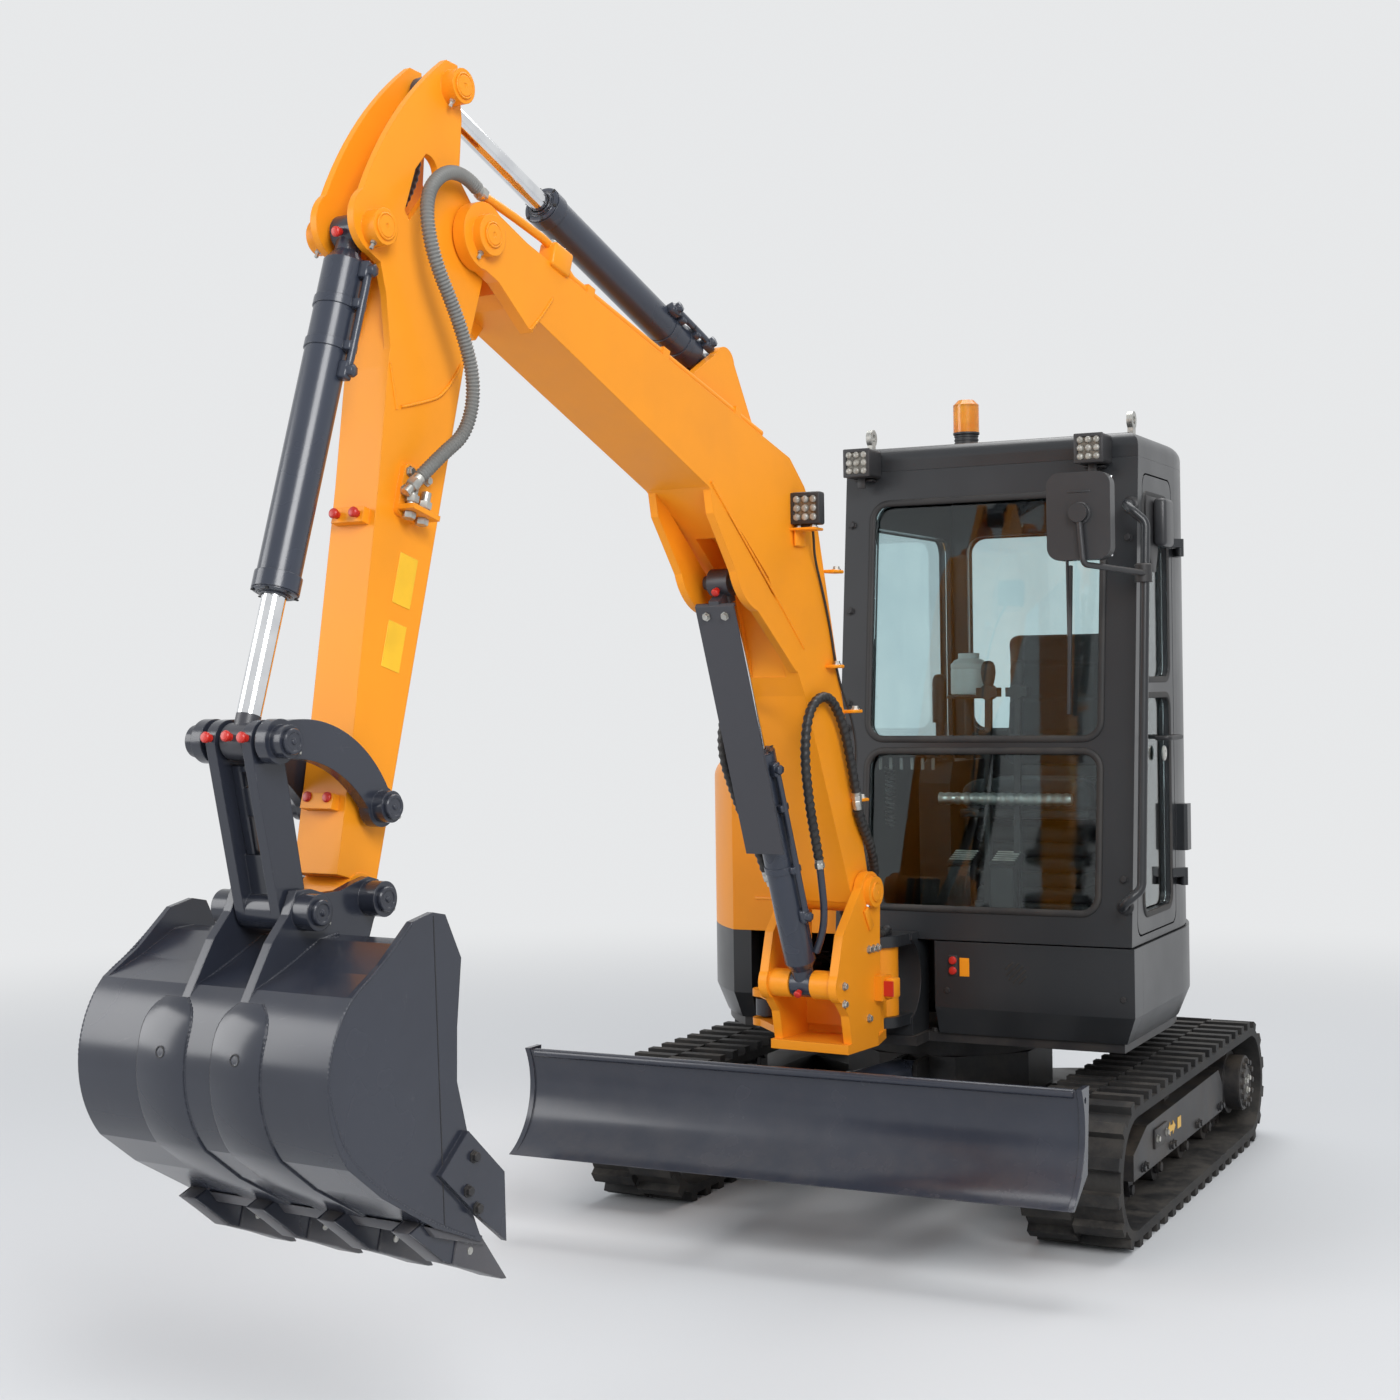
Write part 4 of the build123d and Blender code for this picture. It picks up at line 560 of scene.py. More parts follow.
# %% [markdown]
# ## Finishes for the CAD pieces
# Each CAD piece keeps its shape and gets its finish here. The table below says
# which: orange for what the maker sprays orange, and dark paint for the rest.

# %% Give every CAD piece its finish
finish_table = (
    (orange_paint, "boom", "boom_pipes", "arm", "side_hood", "rear_hood", "swing_bracket"),
    (body_paint, "cab_frame", "cab_roof", "cab_door", "front_skirt", "side_skirts", "counterweight",
     "grab_rail", "swing_post"),
    (bucket_paint, "bucket", "dozer_blade", "blade_arms", "guide_links", "h_link"),
    (cylinder_paint, "boom_cylinder_barrel", "arm_cylinder_barrel", "bucket_cylinder_barrel",
     "swing_cylinder_barrel", "blade_cylinder_barrel"),
    (frame_paint, "undercarriage_frame", "side_frames", "revolving_frame", "front_idlers", "drive_sprockets",
     "travel_motors", "track_rollers", "slew_ring", "engine_block"),
    (rubber, "track_left", "track_right"),
    (pane_glass, "cab_glass", "door_glass"),
    (black_plastic, "cab_controls", "cab_work_lamps", "operator_seat"),
    (mirror_shell, "front_mirror"),
    (amber, "beacon"),
    (zinc, "lifting_eyes"),
)
for material, *names in finish_table:
    for name in names:
        finishes[name] = material
for name, piece in nodes.items():
    piece.data.materials.clear()
    piece.data.materials.append(finishes[name])
print("pieces without a finish:", sorted(set(nodes) - set(finishes)))

# %% [markdown]
# ## Tools of the bench
# Most added pieces are turned, sawn or bent metal. A turned piece, such as a
# bolt head or a pin's cap, starts as a flat circle that is extruded and scaled
# step by step, as on a lathe. A block starts as a cube with its edges bevelled.
# A plate starts as a circle with as many corners as its outline has. What
# repeats is made once and copied, and the copies are joined into one piece.


# %% Turned pieces, blocks and plates
def edit(piece):
    """Opens a piece in edit mode with all of it selected."""
    clear_selection()
    piece.select_set(True)
    bpy.context.view_layer.objects.active = piece
    bpy.ops.object.mode_set(mode="EDIT")
    bpy.ops.mesh.select_all(action="SELECT")


def painted(piece, material):
    """The piece with one finish."""
    piece.data.materials.clear()
    piece.data.materials.append(material)
    return piece


def turned(steps, material, sides=24):
    """A stepped round piece on the origin; steps are (radius, rise), as on a lathe."""
    clear_selection()
    radius = steps[0][0]
    bpy.ops.mesh.primitive_circle_add(vertices=sides, radius=radius, fill_type="NGON")
    piece = bpy.context.object
    edit(piece)
    for new_radius, rise in steps[1:]:
        bpy.ops.mesh.extrude_region_move(TRANSFORM_OT_translate={"value": (0, 0, rise)})
        ratio = new_radius / radius
        if abs(ratio - 1) > 1e-6:
            bpy.ops.transform.resize(value=(ratio, ratio, 1), center_override=(0, 0, 0))
        radius = new_radius
    bpy.ops.object.mode_set(mode="OBJECT")
    return painted(piece, material)


def opened(piece):
    """A turned piece with its two caps cut away and an inner wall put in, so that a rod can pass."""
    widest = max(len(face.vertices) for face in piece.data.polygons)
    edit(piece)
    bpy.ops.mesh.select_mode(type="FACE")
    bpy.ops.mesh.select_all(action="DESELECT")
    bpy.ops.object.mode_set(mode="OBJECT")
    for face in piece.data.polygons:
        face.select = len(face.vertices) == widest
    bpy.ops.object.mode_set(mode="EDIT")
    bpy.ops.mesh.delete(type="ONLY_FACE")
    bpy.ops.mesh.select_mode(type="EDGE")
    bpy.ops.mesh.select_all(action="DESELECT")
    bpy.ops.mesh.select_non_manifold()
    bpy.ops.mesh.bridge_edge_loops()
    bpy.ops.mesh.select_all(action="SELECT")
    bpy.ops.mesh.normals_make_consistent(inside=False)
    bpy.ops.object.mode_set(mode="OBJECT")
    return piece


def block(size, material, rounding=0.003, segments=2):
    """A box centred on the origin with rounded edges."""
    clear_selection()
    bpy.ops.mesh.primitive_cube_add(size=1)
    piece = bpy.context.object
    edit(piece)
    bpy.ops.transform.resize(value=size, center_override=(0, 0, 0))
    bpy.ops.mesh.bevel(offset=min(rounding, min(size) * 0.45), segments=segments, affect="EDGES")
    bpy.ops.object.mode_set(mode="OBJECT")
    return painted(piece, material)


def plate(outline, material, thickness, rounding=0.0):
    """A flat plate on the origin, cut to an outline and extruded upwards."""
    clear_selection()
    bpy.ops.mesh.primitive_circle_add(vertices=len(outline), radius=1, fill_type="NGON")
    piece = bpy.context.object
    for corner, (x, y) in zip(piece.data.vertices, outline):
        corner.co = (x, y, 0)
    edit(piece)
    bpy.ops.mesh.extrude_region_move(TRANSFORM_OT_translate={"value": (0, 0, thickness)})
    if rounding:
        bpy.ops.mesh.select_all(action="SELECT")
        bpy.ops.mesh.bevel(offset=rounding, segments=2, affect="EDGES")
    bpy.ops.object.mode_set(mode="OBJECT")
    return painted(piece, material)


# %% Placing, copying, joining and handing over
def moved(x, y, z):
    """A placing matrix that only moves."""
    return Matrix.Translation((x, y, z))


def frame_at(origin, x_axis, y_axis):
    """A placing matrix from an origin and two directions."""
    x = Vector(x_axis).normalized()
    z = x.cross(Vector(y_axis)).normalized()
    y = z.cross(x)
    turn = Matrix((x, y, z)).transposed().to_4x4()
    return Matrix.Translation(origin) @ turn


def facing_along(origin, axis):
    """A placing matrix whose top points along an axis."""
    return Matrix.Translation(origin) @ Vector(axis).to_track_quat("Z", "Y").to_matrix().to_4x4()


def side_frame(pin, angle, left):
    """A placing matrix in the boom's plane: x along the angle, y to its side, z to the right."""
    a = radians(angle)
    return frame_at(boom_point(*pin, left), ahead * cos(a) + up * sin(a), up * cos(a) - ahead * sin(a))


def put(piece, matrix):
    piece.matrix_world = matrix
    return piece


def copied(piece, matrices):
    """Copies of one piece, each with its own mesh. The first one is moved too."""
    made = []
    for number in range(len(matrices)):
        twin = piece
        if number:
            twin = piece.copy()
            twin.data = piece.data.copy()
            bpy.context.scene.collection.objects.link(twin)
        made.append(twin)
    for twin, matrix in zip(made, matrices):
        twin.matrix_world = matrix
    return made


def joined(parts):
    """One piece from several, with their finishes kept."""
    clear_selection()
    for part in parts:
        part.select_set(True)
    bpy.context.view_layer.objects.active = parts[0]
    if len(parts) > 1:
        bpy.ops.object.join()
    return bpy.context.view_layer.objects.active


def settle(parts, name, body, smooth=35):
    """Joins parts into a named piece with its place in its mesh, riding on a body."""
    parts = parts if isinstance(parts, (list, tuple)) else [parts]
    piece = joined(list(parts))
    piece.name = piece.data.name = name
    for modifier in list(piece.modifiers):
        bpy.ops.object.modifier_apply(modifier=modifier.name)
    bpy.ops.object.transform_apply(location=True, rotation=True, scale=True)
    edit(piece)
    bpy.ops.mesh.remove_doubles(threshold=0.00002)
    bpy.ops.mesh.normals_make_consistent(inside=False)
    bpy.ops.object.mode_set(mode="OBJECT")
    bpy.ops.object.shade_smooth_by_angle(angle=radians(smooth))
    if body:
        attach(piece, body)
    return piece


# %% [markdown]
# ## Pins, caps and grease nipples
# Each joint turns on a steel pin. Its end shows in the boss as a round plate
# with a groove round it, and a nipple beside it takes grease. Each such piece is
# modelled once, and all joints get copies.

# %% Model a pin end, a grease nipple, a bolt and a red cap
pin_end = turned([(0.030, -0.001), (0.030, 0.0035), (0.0285, 0.0012), (0.0265, 0.0), (0.0255, -0.0018),
                  (0.0245, 0.0), (0.0235, 0.0018), (0.006, 0.0005), (0.005, -0.002)], orange_paint, 32)
dark_pin_end = turned([(0.027, -0.001), (0.027, 0.007), (0.025, 0.0025), (0.019, 0.0), (0.018, -0.002),
                       (0.007, 0.0), (0.006, 0.003), (0.004, 0.001)], bucket_paint, 32)
nipple = turned([(0.0075, -0.002), (0.0075, 0.006), (0.0045, 0.001), (0.0035, 0.006), (0.005, 0.001),
                 (0.005, 0.003), (0.003, 0.002)], zinc, 6)
red_cap = turned([(0.0085, -0.002), (0.0085, 0.010), (0.0115, 0.0), (0.0115, 0.006), (0.009, 0.003),
                  (0.004, 0.001)], red_plastic, 16)
bolt = turned([(0.0130, -0.001), (0.0130, 0.0035), (0.0095, 0.0), (0.0095, 0.0065), (0.0085, 0.0012)],
              zinc, 6)
dark_bolt = turned([(0.0140, -0.001), (0.0140, 0.003), (0.0105, 0.0), (0.0105, 0.008), (0.009, 0.0015)],
                   frame_paint, 6)
patterns = [pin_end, dark_pin_end, nipple, red_cap, bolt, dark_bolt]


def copies_of(pattern, matrices):
    """Copies of a pattern that itself stays behind for later pieces."""
    first = pattern.copy()
    first.data = pattern.data.copy()
    bpy.context.scene.collection.objects.link(first)
    return copied(first, list(matrices))


# %% Pin ends on the boom group
# columns: body, the pin, half the length over its bosses, the boss's radius, dark or orange
joints_seen = (("bracket", "foot", 0.150, 0.046, False), ("boom", "elbow", 0.122, 0.048, False),
               ("arm", "arm_head", 0.097, 0.040, False), ("arm", "bucket_base", 0.097, 0.040, False),
               ("bucket", "tip", 0.135, 0.038, True), ("bucket", "hanger", 0.135, 0.038, True),
               ("guide", "guide", 0.132, 0.034, True), ("guide", "knuckle", 0.132, 0.034, True))
for body, pin, half, radius, dark in joints_seen:
    ends, nipples = [], []
    for hand in (-1, 1):
        ends.append(facing_along(boom_point(*pins[pin], hand * half), leftward * hand))
        slope = radians(-150 if dark else -60)
        out = ahead * cos(slope) + up * sin(slope)
        nipples.append(facing_along(boom_point(*pins[pin], hand * (half - 0.018)) + out * radius * 0.98, out))
    made = copies_of(dark_pin_end if dark else pin_end, ends) + copies_of(nipple, nipples)
    settle(made, f"pin_ends_{pin}", body)

# %% Red grease caps
# columns: body, pin, half-widths of the places along it, radius, angle in the plane
for body, pin, lefts, radius, angle in (
        ("h_link", "knuckle", (-0.050, 0.050), 0.044, 10), ("bucket_cyl_rod", "knuckle", (0.0,), 0.038, 14),
        ("bucket_cyl_barrel", "bucket_base", (0.0,), 0.038, -8),
        ("boom_cyl_rod", "boom_high", (0.0,), 0.038, -35),
        ("boom_cyl_barrel", "boom_low", (0.0,), 0.038, -30)):
    a = radians(angle)
    out = ahead * cos(a) + up * sin(a)
    caps = copies_of(red_cap,
                     (facing_along(boom_point(*pins[pin], left) + out * radius, out) for left in lefts))
    settle(caps, f"grease_caps_{body}_{pin}", body)

# %% [markdown]
# ## Hydraulic hoses
# Oil reaches the cylinders through steel pipes and rubber hoses. A hose is a
# fixed length that springs into a smooth bow, so its line is a NURBS curve
# through a few control points. The wall is then built round that line: rings
# for a corrugated sleeve, and a slow spiral for the guard wrapped on the others.


# %% A hose from its line
def smooth_line(points, name="line"):
    """Points along the smooth curve that a few control points give."""
    curve = bpy.data.curves.new(name, "CURVE")
    curve.dimensions = "3D"
    curve.resolution_u = 24
    spline = curve.splines.new("NURBS")
    spline.points.add(len(points) - 1)
    for control, point in zip(spline.points, points):
        control.co = (*point, 1)
    spline.order_u = 3
    spline.use_endpoint_u = True
    holder = bpy.data.objects.new(name, curve)
    bpy.context.scene.collection.objects.link(holder)
    bpy.context.view_layer.update()
    depsgraph = bpy.context.evaluated_depsgraph_get()
    line = bpy.data.meshes.new_from_object(holder.evaluated_get(depsgraph))
    places = [v.co.copy() for v in line.vertices]
    bpy.data.objects.remove(holder)
    return places


def evenly(places, step):
    """The same line, cut into equal steps."""
    lengths = [0.0]
    for a, b in zip(places, places[1:]):
        lengths.append(lengths[-1] + (b - a).length)
    count = max(2, round(lengths[-1] / step))
    found, k = [], 0
    for n in range(count + 1):
        target = lengths[-1] * n / count
        while k < len(lengths) - 2 and lengths[k + 1] < target:
            k += 1
        part = (target - lengths[k]) / max(lengths[k + 1] - lengths[k], 1e-9)
        found.append(places[k].lerp(places[k + 1], part))
    return found, lengths[-1]


def hose(points, radius, material, pitch=None, depth=0.0, spiral=False, sides=14, coiled=False):
    """A hose wall round a smooth line, with rings or a spiral of a given pitch."""
    step = pitch / 4 if pitch else radius * 0.9
    line, length = evenly(points if coiled else smooth_line(points), step)
    shell = bmesh.new()
    side = None
    rings = []
    for n, place in enumerate(line):
        run = (line[min(n + 1, len(line) - 1)] - line[max(n - 1, 0)]).normalized()
        side = run.orthogonal().normalized() if side is None else (side - run * side.dot(run)).normalized()
        other = run.cross(side)
        ring = []
        for k in range(sides):
            a = 2 * pi * k / sides
            phase = 2 * pi * n / 4 - (a if spiral else 0)
            r = radius + (depth * cos(phase) if pitch else 0)
            ring.append(shell.verts.new(place + (side * cos(a) + other * sin(a)) * r))
        rings.append(ring)
    for low, high in zip(rings, rings[1:]):
        for k in range(sides):
            shell.faces.new((low[k], low[(k + 1) % sides], high[(k + 1) % sides], high[k]))
    shell.faces.new(reversed(rings[0]))
    shell.faces.new(rings[-1])
    mesh = bpy.data.meshes.new("hose")
    shell.to_mesh(mesh)
    shell.free()
    piece = bpy.data.objects.new("hose", mesh)
    bpy.context.scene.collection.objects.link(piece)
    mesh.materials.append(material)
    return piece, line, length


# %% A hose fitting: ferrule, hexagon and nut
def fitting(at, along, scale=1.0):
    """A crimped ferrule and a hexagon nut, from the hose's end outwards."""
    s = scale
    ferrule = turned([(0.0105 * s, -0.032 * s), (0.0128 * s, 0.002 * s), (0.0128 * s, 0.012 * s),
                      (0.0118 * s, 0.002 * s), (0.0128 * s, 0.002 * s), (0.0128 * s, 0.010 * s),
                      (0.0090 * s, 0.003 * s), (0.0090 * s, 0.016 * s)], zinc, 20)
    nut = turned([(0.0135 * s, 0), (0.0148 * s, 0.002 * s), (0.0148 * s, 0.014 * s), (0.0130 * s, 0.002 * s)],
                 zinc, 6)
    place = facing_along(at, along)
    put(ferrule, place)
    put(nut, place @ moved(0, 0, 0.012 * s))
    return [ferrule, nut]


# %% The grey corrugated hose that bows over the elbow
elbow_route = boom_line(((2.078, 2.805, 0.092), (2.125, 2.825, 0.098), (2.215, 2.815, 0.108),
                         (2.296, 2.745, 0.120), (2.290, 2.620, 0.130), (2.205, 2.480, 0.138),
                         (2.152, 2.350, 0.140), (2.176, 2.235, 0.134), (2.250, 2.180, 0.118),
                         (2.306, 2.128, 0.104)))
elbow_hose, line, length = hose(elbow_route, 0.0150, hose_grey, pitch=0.0085, depth=0.0016)
print("elbow hose", round(length, 3), "m")
settle(elbow_hose, "elbow_hose", None, smooth=60)
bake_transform(elbow_hose)
settle(fitting(line[0], line[0] - line[1], 1.15), "elbow_fitting_boom", "boom")
settle(fitting(line[-1], line[-1] - line[-2], 1.15), "elbow_fitting_arm", "arm")

# %% Steel pipe ends that carry on from the CAD pipes to the elbow
pipe_ends = []
for hand in (-1, 1):
    route = [boom_frame(s, a, hand * left) for s, a, left in
             ((2.150, 0.211, 0.084), (2.200, 0.206, 0.084), (2.260, 0.200, 0.086), (2.320, 0.168, 0.088),
              (2.430, 0.108, 0.091), (2.500, 0.066, 0.092))]
    pipe_ends.append(hose(route, 0.0105, orange_paint)[0])
clamp = block((0.075, 0.060, 0.050), orange_paint, 0.006)
screw_places = []
for hand in (-1, 1):
    base = side_frame(from_pin(pins["foot"], boom_angle, 2.215, 0.190), boom_angle - 24.7, hand * 0.086)
    pipe_ends += copies_of(clamp, [base])
    screw_places += [base @ moved(dx, 0.030, 0) @ Matrix.Rotation(radians(-90), 4, "X")
                     for dx in (-0.020, 0.020)]
pipe_ends += copies_of(bolt, screw_places)
bpy.data.objects.remove(clamp)
settle(pipe_ends, "boom_pipe_ends", "boom", smooth=50)

# %% The pair of hoses that feed the boom cylinder
# On the left a steel pipe rises from the barrel's foot. From its fitting the
# hose bows up beside the boom and back down to a union on the boom's back edge.
wrapped = {"pitch": 0.022, "depth": 0.0018, "spiral": True}     # the guard round these hoses
meeting = boom_point(0.540, 1.160, 0.102)
low_route = boom_line(((0.470, 0.880, 0.050), (0.474, 0.930, 0.074), (0.492, 1.000, 0.092),
                       (0.520, 1.085, 0.100))) + [meeting]
high_route = [meeting] + boom_line(((0.566, 1.220, 0.106), (0.612, 1.320, 0.114), (0.650, 1.470, 0.120),
                                    (0.625, 1.600, 0.124), (0.520, 1.640, 0.126), (0.430, 1.560, 0.126),
                                    (0.372, 1.420, 0.124), (0.345, 1.345, 0.122)))
low_pipe, line, length = hose(low_route, 0.0110, cylinder_paint)
settle(low_pipe, "boom_cylinder_foot_pipe", None, smooth=60)
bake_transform(low_pipe)
settle(fitting(meeting, line[-2] - line[-1]), "boom_cylinder_hose_fitting", "bracket")
high_hose, line, more = hose(high_route, 0.0135, hose_rubber, **wrapped)
settle(high_hose, "boom_cylinder_hose_high", None, smooth=60)
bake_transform(high_hose)
print("left boom-cylinder hose", round(more, 3), "m, its pipe", round(length, 3), "m")
union_end = boom_point(0.330, 1.290, 0.120)
settle(fitting(line[-1], line[-1] - line[-2]) + fitting(union_end, line[-1] - union_end), "boom_union",
       "boom")

# the hose that carries on down the boom's back edge and into the bracket
foot_route = [union_end] + boom_line(((0.300, 1.240, 0.118), (0.235, 1.170, 0.112), (0.180, 1.090, 0.095),
                                      (0.150, 0.990, 0.070), (0.130, 0.900, 0.045), (0.110, 0.840, 0.020)))
foot_hose, _, length = hose(foot_route, 0.0150, hose_rubber, pitch=0.018, depth=0.0012, spiral=True)
settle(foot_hose, "boom_foot_hose", None, smooth=60)
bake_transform(foot_hose)
print("boom foot hose", round(length, 3), "m")

# the right one runs up to the boom's right side
right_low = boom_line(((0.555, 1.120, -0.068), (0.572, 1.175, -0.078), (0.610, 1.240, -0.086),
                       (0.650, 1.300, -0.090)))
right_high = boom_line(((0.650, 1.300, -0.090), (0.700, 1.380, -0.094), (0.745, 1.480, -0.096),
                        (0.735, 1.575, -0.094), (0.670, 1.620, -0.088), (0.615, 1.600, -0.080)))
right_hose, line, length = hose(right_low, 0.0135, hose_rubber, **wrapped)
settle(right_hose, "boom_cylinder_hose_right", None, smooth=60)
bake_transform(right_hose)
settle(fitting(line[0], line[0] - line[1]), "boom_cylinder_right_fitting", "boom_cyl_barrel")
right_hose, _, more = hose(right_high, 0.0135, hose_rubber, **wrapped)
settle(right_hose, "boom_hose_right", None, smooth=60)
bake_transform(right_hose)
print("right boom-cylinder hose", round(length + more, 3), "m")

# %% [markdown]
# ## Window seals
# Each pane sits in a black rubber lip. The lip is one closed ring that runs
# round a rounded rectangle, so it is swept from a small profile along that
# ring. A rounded rectangle needs only its size and the radius of its corners.


# %% A rubber ring round a window
def rounded_ring(width, height, radius, steps=6):
    """Points round a rectangle with rounded corners, centred on the origin."""
    ring = []
    for k, (sx, sy) in enumerate(((1, 1), (-1, 1), (-1, -1), (1, -1))):
        for n in range(steps + 1):
            a = radians(90 * k + 90 * n / steps)
            ring.append((sx * (width / 2 - radius) + radius * cos(a),
                         sy * (height / 2 - radius) + radius * sin(a)))
    return ring


def swept_ring(ring, wide, thick, matrix, material):
    """A flat lip along a closed ring: wide across the pane's plane and thick out of it."""
    outer_in = []
    count = len(ring)
    for k in range(count):
        here, back, on = Vector(ring[k]), Vector(ring[k - 1]), Vector(ring[(k + 1) % count])
        run = (on - back).normalized()
        outer_in.append((here, Vector((run.y, -run.x))))
    shell = bmesh.new()
    sections = []
    for here, out in outer_in:
        # a lip with a rounded top: five corners across
        section = []
        for across, height in ((-0.5, 0), (-0.38, 0.75), (0, 1), (0.38, 0.75), (0.5, 0)):
            spot = here + out * across * wide
            section.append(shell.verts.new((spot.x, spot.y, height * thick)))
        sections.append(section)
    for k in range(count):
        low, high = sections[k], sections[(k + 1) % count]
        for n in range(5):
            m = (n + 1) % 5
            shell.faces.new((low[n], low[m], high[m], high[n]))
    bmesh.ops.recalc_face_normals(shell, faces=shell.faces)
    mesh = bpy.data.meshes.new("lip")
    shell.to_mesh(mesh)
    shell.free()
    mesh.materials.append(material)
    piece = bpy.data.objects.new("lip", mesh)
    bpy.context.scene.collection.objects.link(piece)
    piece.matrix_world = matrix
    return piece


cab_lean = radians(5.7)


def cab_front(x, z, out=0.0):
    """A place on the leaning front face of the cab, at a height."""
    return Vector((x, slew_y - 0.652 + (z - 0.857) * sin(cab_lean) / cos(cab_lean) - out, z))


lean_up = (cab_front(0, 2) - cab_front(0, 1)).normalized()
seals = []
for low, high in ((0.957, 1.444), (1.489, 2.242)):
    middle = cab_front(0.330, (low + high) / 2, 0.001)
    seals.append(swept_ring(rounded_ring(0.764, (high - low) / cos(cab_lean) + 0.008, 0.055), 0.022, 0.006,
                            frame_at(middle, (1, 0, 0), lean_up), rubber_and_recess_shade))
seals.append(swept_ring(rounded_ring(0.868, 0.768, 0.064), 0.022, 0.006,
                        frame_at((-0.1475, slew_y - 0.060, 1.800), (0, -1, 0), up), rubber_and_recess_shade))
seals.append(swept_ring(rounded_ring(0.588, 0.708, 0.064), 0.022, 0.006,
                        frame_at((0.240, slew_y + 0.4305, 1.840), (-1, 0, 0), up), rubber_and_recess_shade))
settle(seals, "window_seals", "upper", smooth=50)
door_seals = []
for low, high, front, back in ((0.945, 1.610, -0.500, -0.167), (1.670, 2.235, -0.4525, -0.167)):
    middle = Vector((0.8155, slew_y + (front + back) / 2, (low + high) / 2))
    door_seals.append(swept_ring(rounded_ring(back - front + 0.012, high - low + 0.012, 0.045), 0.020, 0.006,
                                 frame_at(middle, (0, 1, 0), up), rubber_and_recess_shade))
settle(door_seals, "door_seals", "door", smooth=50)

# %% [markdown]
# ## Lamps
# Three square work lamps have nine small lenses each, set in a frame before a
# row of cooling ribs. One function makes them, and each lamp calls it.


# %% Lamp fronts
def lamp_front(centre, out, half=0.046, back=0.055):
    """A frame with its nine lenses, standing on a lamp's face."""
    place = frame_at(centre, up.cross(Vector(out)), up)
    rim = block((half * 2, half * 2, 0.010), black_plastic, 0.004)
    put(rim, place)
    edit(rim)
    bpy.ops.mesh.select_all(action="DESELECT")
    bpy.ops.object.mode_set(mode="OBJECT")
    for face in rim.data.polygons:
        face.select = face.normal.z > 0.99 and face.center.z > 0.0049
    bpy.ops.object.mode_set(mode="EDIT")
    bpy.ops.mesh.inset(thickness=half * 0.16, depth=0)
    bpy.ops.mesh.inset(thickness=0.002, depth=-0.006)
    bpy.ops.object.mode_set(mode="OBJECT")
    lens = turned([(0.0105, -0.002), (0.0105, 0.003), (0.0095, 0.0028), (0.0068, 0.0022), (0.003, 0.0010)],
                  lamp_glass, 14)
    pitch = half * 0.56
    spots = [place @ moved(i * pitch, j * pitch, 0.0005) for i in (-1, 0, 1) for j in (-1, 0, 1)]
    pane = block((half * 1.66, half * 1.66, 0.003), lens_back, 0.001, 1)
    put(pane, place @ moved(0, 0, -0.0015))
    ribs = copied(block((half * 1.9, 0.004, 0.020), black_plastic, 0.001, 1),
                  [place @ moved(0, k * half * 0.3, -back) for k in range(-3, 4)])
    return [rim, pane] + copied(lens, spots) + ribs


lens_back, tree, shader = blank("lens_back", 0.25, Metallic=0.6)
tree.links.new(mixed(tree, use(tree, clouds, Scale=120.0)["Value"], (0.10, 0.095, 0.085), (0.22, 0.21, 0.18)),
               shader.inputs["Base Color"])
low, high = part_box("cab_work_lamps")
fronts, brackets = [], []
for x in (-0.072, 0.690):
    fronts += lamp_front(Vector((x, low.y - 0.001, 2.374)), (0, -1, 0))
    foot = block((0.064, 0.040, 0.006), black_plastic, 0.002)
    brackets.append(put(foot, moved(x, low.y + 0.070, 2.322)))
    stem = block((0.026, 0.008, 0.034), black_plastic, 0.002)
    brackets.append(put(stem, moved(x, low.y + 0.040, 2.312)))
settle(fronts, "cab_lamp_fronts", "upper")
settle(brackets, "cab_lamp_feet", "upper")

# %% The boom's work lamp on its bracket, with its cable
lamp_at = boom_point(0.662, 2.162, 0.142)
toe_out = radians(8)
lamp_turn = ahead * cos(toe_out) + leftward * sin(toe_out)
housing = block((0.090, 0.094, 0.040), black_plastic, 0.007)
put(housing, frame_at(lamp_at - lamp_turn * 0.020, up.cross(lamp_turn), up))
settle([housing] + lamp_front(lamp_at + lamp_turn * 0.001, lamp_turn, 0.045, 0.030), "boom_work_lamp", "boom")
shelf = block((0.086, 0.008, 0.070), orange_paint, 0.003)
put(shelf, frame_at(boom_point(0.640, 2.104, 0.128), up.cross(lamp_turn), up))
gusset = block((0.008, 0.050, 0.056), orange_paint, 0.003)
put(gusset, frame_at(boom_point(0.636, 2.082, 0.108), leftward, up))
lamp_foot = block((0.030, 0.020, 0.012), black_plastic, 0.003)
put(lamp_foot, frame_at(boom_point(0.645, 2.112, 0.135), up.cross(lamp_turn), up))
lamp_bolts = copies_of(bolt, [facing_along(boom_point(0.645, 2.107, 0.135 + d), up) for d in (-0.024, 0.024)])
settle([shelf, gusset, lamp_foot] + lamp_bolts, "boom_lamp_bracket", "boom")
cable_route = boom_line(((0.622, 2.128, 0.140), (0.590, 2.090, 0.128), (0.560, 2.030, 0.112),
                         (0.500, 1.930, 0.106), (0.455, 1.820, 0.105), (0.430, 1.720, 0.106),
                         (0.395, 1.640, 0.108), (0.350, 1.570, 0.112), (0.325, 1.480, 0.116),
                         (0.330, 1.400, 0.114), (0.340, 1.340, 0.108)))
cable = hose(cable_route, 0.0038, hose_rubber, sides=8)[0]
settle(cable, "boom_lamp_cable", "boom", smooth=60)

# %% [markdown]
# ## Mirror, door fittings and wiper
# The front mirror is a moulded shell on a bent arm. Its back faces the front,
# with a round boss where the ball joint sits. The door has a bow handle, and the
# upper front window a wiper.

